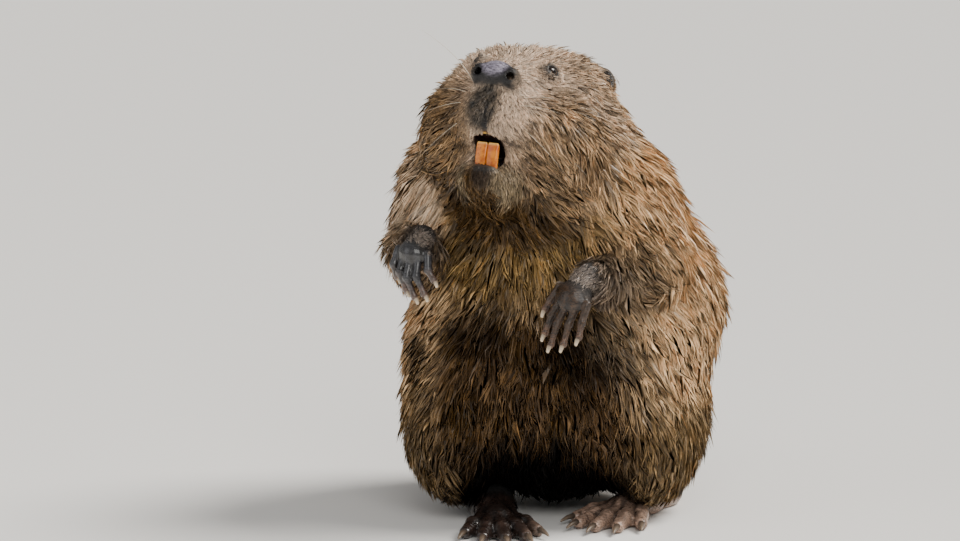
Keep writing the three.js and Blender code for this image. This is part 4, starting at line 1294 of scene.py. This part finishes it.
def make_teeth(name):
    tooth = TEETH[name]
    root, edge = np.array(tooth["root"], float), np.array(tooth["edge"], float)
    forms = []
    for s in (1, -1):
        rings, outward = tooth_rings(root, edge, tooth["width"], tooth["thick"], s)
        verts, faces = loft(from_head(rings))
        forms.append((verts, faces if outward else faces[:, ::-1]))
    teeth = joined("teeth_" + name[9:], forms, [corner_values(TOOTH_SHARES, TOOTH_SIDES)] * 2)
    nodes = Nodes(name)
    stains = nodes.noise(170.0, 4.0)
    colour = nodes.mixed(nodes.spread(stains, 0.4, 0.62), ENAMEL, STAIN)
    colour = nodes.mixed(nodes.spread(nodes.cells(330.0), 0.05, 0.3), CHIP, colour)
    colour = nodes.mixed(nodes.spread(nodes.attribute("along", "Fac"), 0.9, 1.0), colour, EDGE)
    nodes.bump(stains, 0.0005, 0.6)
    teeth.data.materials.append(nodes.finish(colour, 0.3, Coat_Weight=0.4, Coat_Roughness=0.12))
    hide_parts(name)


CLAW_SHARES = (0, 0.15, 0.3, 0.45, 0.6, 0.75, 0.87, 0.95, 1.0)
CLAW_SIDES = 12
CLAWS = {
    "fore": {"limbs": paws, "radii": (3.3, 1.5), "tip": rgb(226, 206, 178), "root": rgb(96, 78, 64)},
    "hind": {"limbs": feet, "radii": (4.4, 1.0), "tip": rgb(120, 104, 88), "root": rgb(48, 40, 35)},
}


def claw_form(start, end, radii):
    way = unit(end - start)
    start = start - way * 4.0
    across = unit(np.cross(way, [0, 0, 1.0]))
    over = np.cross(across, way)
    rings = []
    for share in CLAW_SHARES:
        arch = 0.1 * np.linalg.norm(end - start) * math.sin(share * math.pi * 0.9)
        thin = radii[0] + (radii[1] - radii[0]) * share**1.3
        thin *= 1.0 if share < 1 else 0.5
        middle = start + (end - start) * share + over * arch
        rings.append(ring(middle, across, over, thin, thin * 0.85, CLAW_SIDES))
    verts, faces = loft(np.array(rings))
    verts[:, 2] = np.maximum(verts[:, 2], 0.4)
    return verts, faces


def make_claws(kind, side):
    look = CLAWS[kind]
    forms = [claw_form(*claw, look["radii"]) for claw in look["limbs"][side][1]]
    obj = joined(f"claws_{kind}_{side}", forms, [corner_values(CLAW_SHARES, CLAW_SIDES)] * len(forms))
    nodes = Nodes(f"claw_{kind}_{side}")
    lines = nodes.varied(420.0, 0.75, 1.2)
    share = nodes.spread(nodes.attribute("along", "Fac"), 0.25, 0.9)
    colour = nodes.scaled(nodes.mixed(share, look["root"], look["tip"]), lines)
    nodes.bump(lines, 0.0003, 0.5)
    obj.data.materials.append(nodes.finish(colour, 0.32))
    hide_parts(*[f"claw_{kind}_{side}_{i}" for i in range(1, 6)])


LONG_WHISKER = np.array([[-21.0, 17, -14], [-30, -34, 50], [-26, -2, -10]])  # start, way and bend
DARK_WHISKER, PALE_WHISKER = rgb(40, 32, 28), rgb(214, 202, 182)


def whisker(start, way, droop, length, thick, taper, count):
    """A thin bent cone of count rings."""
    rings = []
    for share in np.linspace(0, 1, count):
        middle = start + way * length * share + droop * share**2
        turn = frame_of(way + droop / length * 2 * share)
        size = thick * (1 - taper * share)
        rings.append(ring(middle, turn[:, 0], turn[:, 1], size, size, 4))
    return loft(from_head(np.array(rings)))


def make_whiskers():
    forms, pales = [], []
    for s in (1, -1):
        for row in range(4):
            for i in range(5 - row // 2):
                start = np.array([s * (20 + 3.2 * i), 14 + 5.5 * i, -22.0 - 7 * row + 1.5 * i])
                length = RNG.uniform(38, 62) + 5 * i
                way = np.array([s * 1.0, 0.15 + 0.22 * i, 0.42 - 0.34 * row])
                way = unit(way + RNG.normal(0, 0.12, 3))
                droop = np.array([0, 0.10, -0.20]) * length
                forms.append(whisker(start, way, droop, length, RNG.uniform(0.3, 0.42), 0.85, 8))
                pales.append(1.0 if RNG.random() < (0.75 if row < 2 else 0.4) else 0.0)
    forms.append(whisker(*LONG_WHISKER, 1, 0.42, 0.8, 10))
    pales.append(1.0)
    values = [np.full(len(verts), pale) for (verts, _), pale in zip(forms, pales)]
    whiskers = joined("whiskers", forms, values)
    nodes = Nodes("whisker")
    colour = nodes.mixed(nodes.attribute("along", "Fac"), DARK_WHISKER, PALE_WHISKER)
    colour = nodes.scaled(colour, nodes.varied(300.0, 0.8, 1.15))
    whiskers.data.materials.append(nodes.finish(colour, 0.35))


SCALE_LONG, SCALE_WIDE, SCALE_SIDES = 5.6, 4.6, 6
FIRST_ROW, ROWS = 0.035, 0.94  # shares of the tail's length
SCALE_STEPS = ((1.0, -0.25), (0.72, 0.55))  # a scale's rim and its face: their size and height


def scale_corners(rim_e, rim_x, upper):
    """Corners of a scale whose rim is at shares of the tail's length and of half its width."""
    corners = []
    for size, rise in SCALE_STEPS:
        e = np.clip(rim_e.mean() + (rim_e - rim_e.mean()) * size, 0.001, 0.999)
        x = rim_x.mean() + (rim_x - rim_x.mean()) * size
        width, height = tail_section(e)
        z = height - 1 + upper * (height * np.sqrt(1 - x * x) + rise)
        middle = TAIL_BEND * e * e
        corners.append(np.stack([middle + x * width, TAIL_START + e * TAIL_LENGTH, z], axis=1))
    return corners


def make_scales():
    """Small plates in staggered rows over the tail, above and below."""
    scales, uppers = [], []
    around = np.linspace(0, 2 * math.pi, SCALE_SIDES, endpoint=False)
    rows = int(TAIL_LENGTH * ROWS / SCALE_LONG)
    for upper in (1.0, -1.0):
        for i in range(rows):
            e = FIRST_ROW + ROWS * i / rows
            width = tail_section(np.array(e))[0]
            count = int(2 * width / SCALE_WIDE)
            for k in range(count):
                x = (k + 0.5 + 0.5 * (i % 2)) / count * 2 - 1
                if abs(x) > 0.97:
                    continue
                size = RNG.uniform(0.86, 1.0)
                rim_e = e + np.cos(around) * SCALE_LONG * 0.56 * size / TAIL_LENGTH
                rim_x = np.clip(x + np.sin(around) * SCALE_WIDE * 0.52 * size / width, -0.995, 0.995)
                scales.append(scale_corners(rim_e, rim_x, upper))
                uppers.append(upper)
    corners = 2 * SCALE_SIDES
    verts = np.array(scales).reshape(-1, 3)
    verts[:, 2] = np.maximum(verts[:, 2], 0.45)
    following = [(k, (k + 1) % SCALE_SIDES) for k in range(SCALE_SIDES)]
    pattern = [(k, n, SCALE_SIDES + n) for k, n in following]
    pattern += [(k, SCALE_SIDES + n, SCALE_SIDES + k) for k, n in following]
    pattern += [(SCALE_SIDES, SCALE_SIDES + k, SCALE_SIDES + k + 1) for k in range(1, SCALE_SIDES - 1)]
    faces = np.array(pattern)[None] + corners * np.arange(len(scales))[:, None, None]
    above = np.array(uppers) > 0
    faces[above] = faces[above][:, :, ::-1]
    obj = new_mesh("tail_scales", verts, faces.reshape(-1, 3), smooth=False)
    paint(obj, "along", np.repeat(RNG.uniform(0.7, 1.25, len(scales)), corners))
    nodes = Nodes("tail_scale")
    mottle = nodes.varied(50.0, 0.7, 1.3, 4.0)
    tone = nodes.math("MULTIPLY", nodes.attribute("along", "Fac"), mottle)
    nodes.bump(nodes.noise(900.0), 0.0003, 0.6)
    obj.data.materials.append(nodes.finish(nodes.scaled(TAIL_SKIN, tone), 0.42))


# ---- The whole animal ----

verts, quads, normals = make_skin()
marks = describe(verts)
skin = new_mesh("skin", verts, quads)
for layer, mark in (("shade", "skin"), ("naked", "naked"), ("wet", "wet")):
    paint(skin, layer, marks[mark])
skin.data.materials.append(skin_material())
FLESH = [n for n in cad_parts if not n.startswith(("eye", "incisors", "claw"))]
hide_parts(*FLESH)
make_coat(marks, verts, quads, normals)
for side in SIDES:
    make_eye(side)
    make_claws("fore", side)
    make_claws("hind", side)
for name in TEETH:
    make_teeth(name)
make_whiskers()
make_scales()

# ---- Camera, light and floor ----

AZIMUTH, ELEVATION, DISTANCE, PIXEL = math.radians(8), math.radians(12), 5.0, 0.001
LENS, SENSOR = 187.5, 36.0
HIPS_PIXEL, MIDDLE_PIXEL = (555, 506), (480, 270.5)  # of the picture, from its upper left

scene = bpy.context.scene
hips = Vector(metres([0, 0, 0]))
back = Vector((
    math.sin(AZIMUTH) * math.cos(ELEVATION),
    -math.cos(AZIMUTH) * math.cos(ELEVATION),
    math.sin(ELEVATION),
))
right = Vector((math.cos(AZIMUTH), math.sin(AZIMUTH), 0))
up = back.cross(right)


def add_object(name, data, at, away):
    """An object of the scene whose view or light goes against the vector away."""
    obj = bpy.data.objects.new(name, data)
    obj.location = at
    obj.rotation_euler = Vector(away).to_track_quat("Z", "Y").to_euler()
    scene.collection.objects.link(obj)
    return obj


def add_light(name, kind, energy, colour, at, away):
    light = add_object(name, bpy.data.lights.new(name, kind), at, away).data
    light.energy, light.color = energy, colour
    return light


aim = hips - right * (HIPS_PIXEL[0] - MIDDLE_PIXEL[0]) * PIXEL
aim = aim + up * (HIPS_PIXEL[1] - MIDDLE_PIXEL[1]) * PIXEL
eye_point = hips + back * DISTANCE
scene.camera = add_object("camera", bpy.data.cameras.new("camera"), eye_point, eye_point - aim)
scene.camera.data.lens, scene.camera.data.sensor_width = LENS, SENSOR
sun = add_light("overhead", "SUN", 4.2, (1.0, 0.96, 0.9), (0, 0, 0), (0.75, 0.2, 1.0))
sun.angle = math.radians(28)
add_light("front", "AREA", 36, (1.0, 0.98, 0.94), (0.7, -2.6, 1.9), (0.7, -2.6, 1.6)).size = 1.6
add_light("fill", "AREA", 12, (0.97, 0.98, 1.0), (-2.4, -1.6, 1.4), (-2.4, -1.6, 1.15)).size = 1.8
world = bpy.data.worlds.new("studio")
world.use_nodes = True
background = world.node_tree.nodes["Background"]
background.inputs["Color"].default_value = (0.95, 0.94, 0.92, 1)
background.inputs["Strength"].default_value = 0.32
scene.world = world
floor_mesh = bpy.data.meshes.new("floor")
floor_mesh.from_pydata([(-6, -6, 0), (6, -6, 0), (6, 14, 0), (-6, 14, 0)], [], [(0, 1, 2, 3)])
floor = bpy.data.objects.new("floor", floor_mesh)
scene.collection.objects.link(floor)
floor.data.materials.append(Nodes("floor").finish((0.86, 0.85, 0.83), 0.8, 0.2))
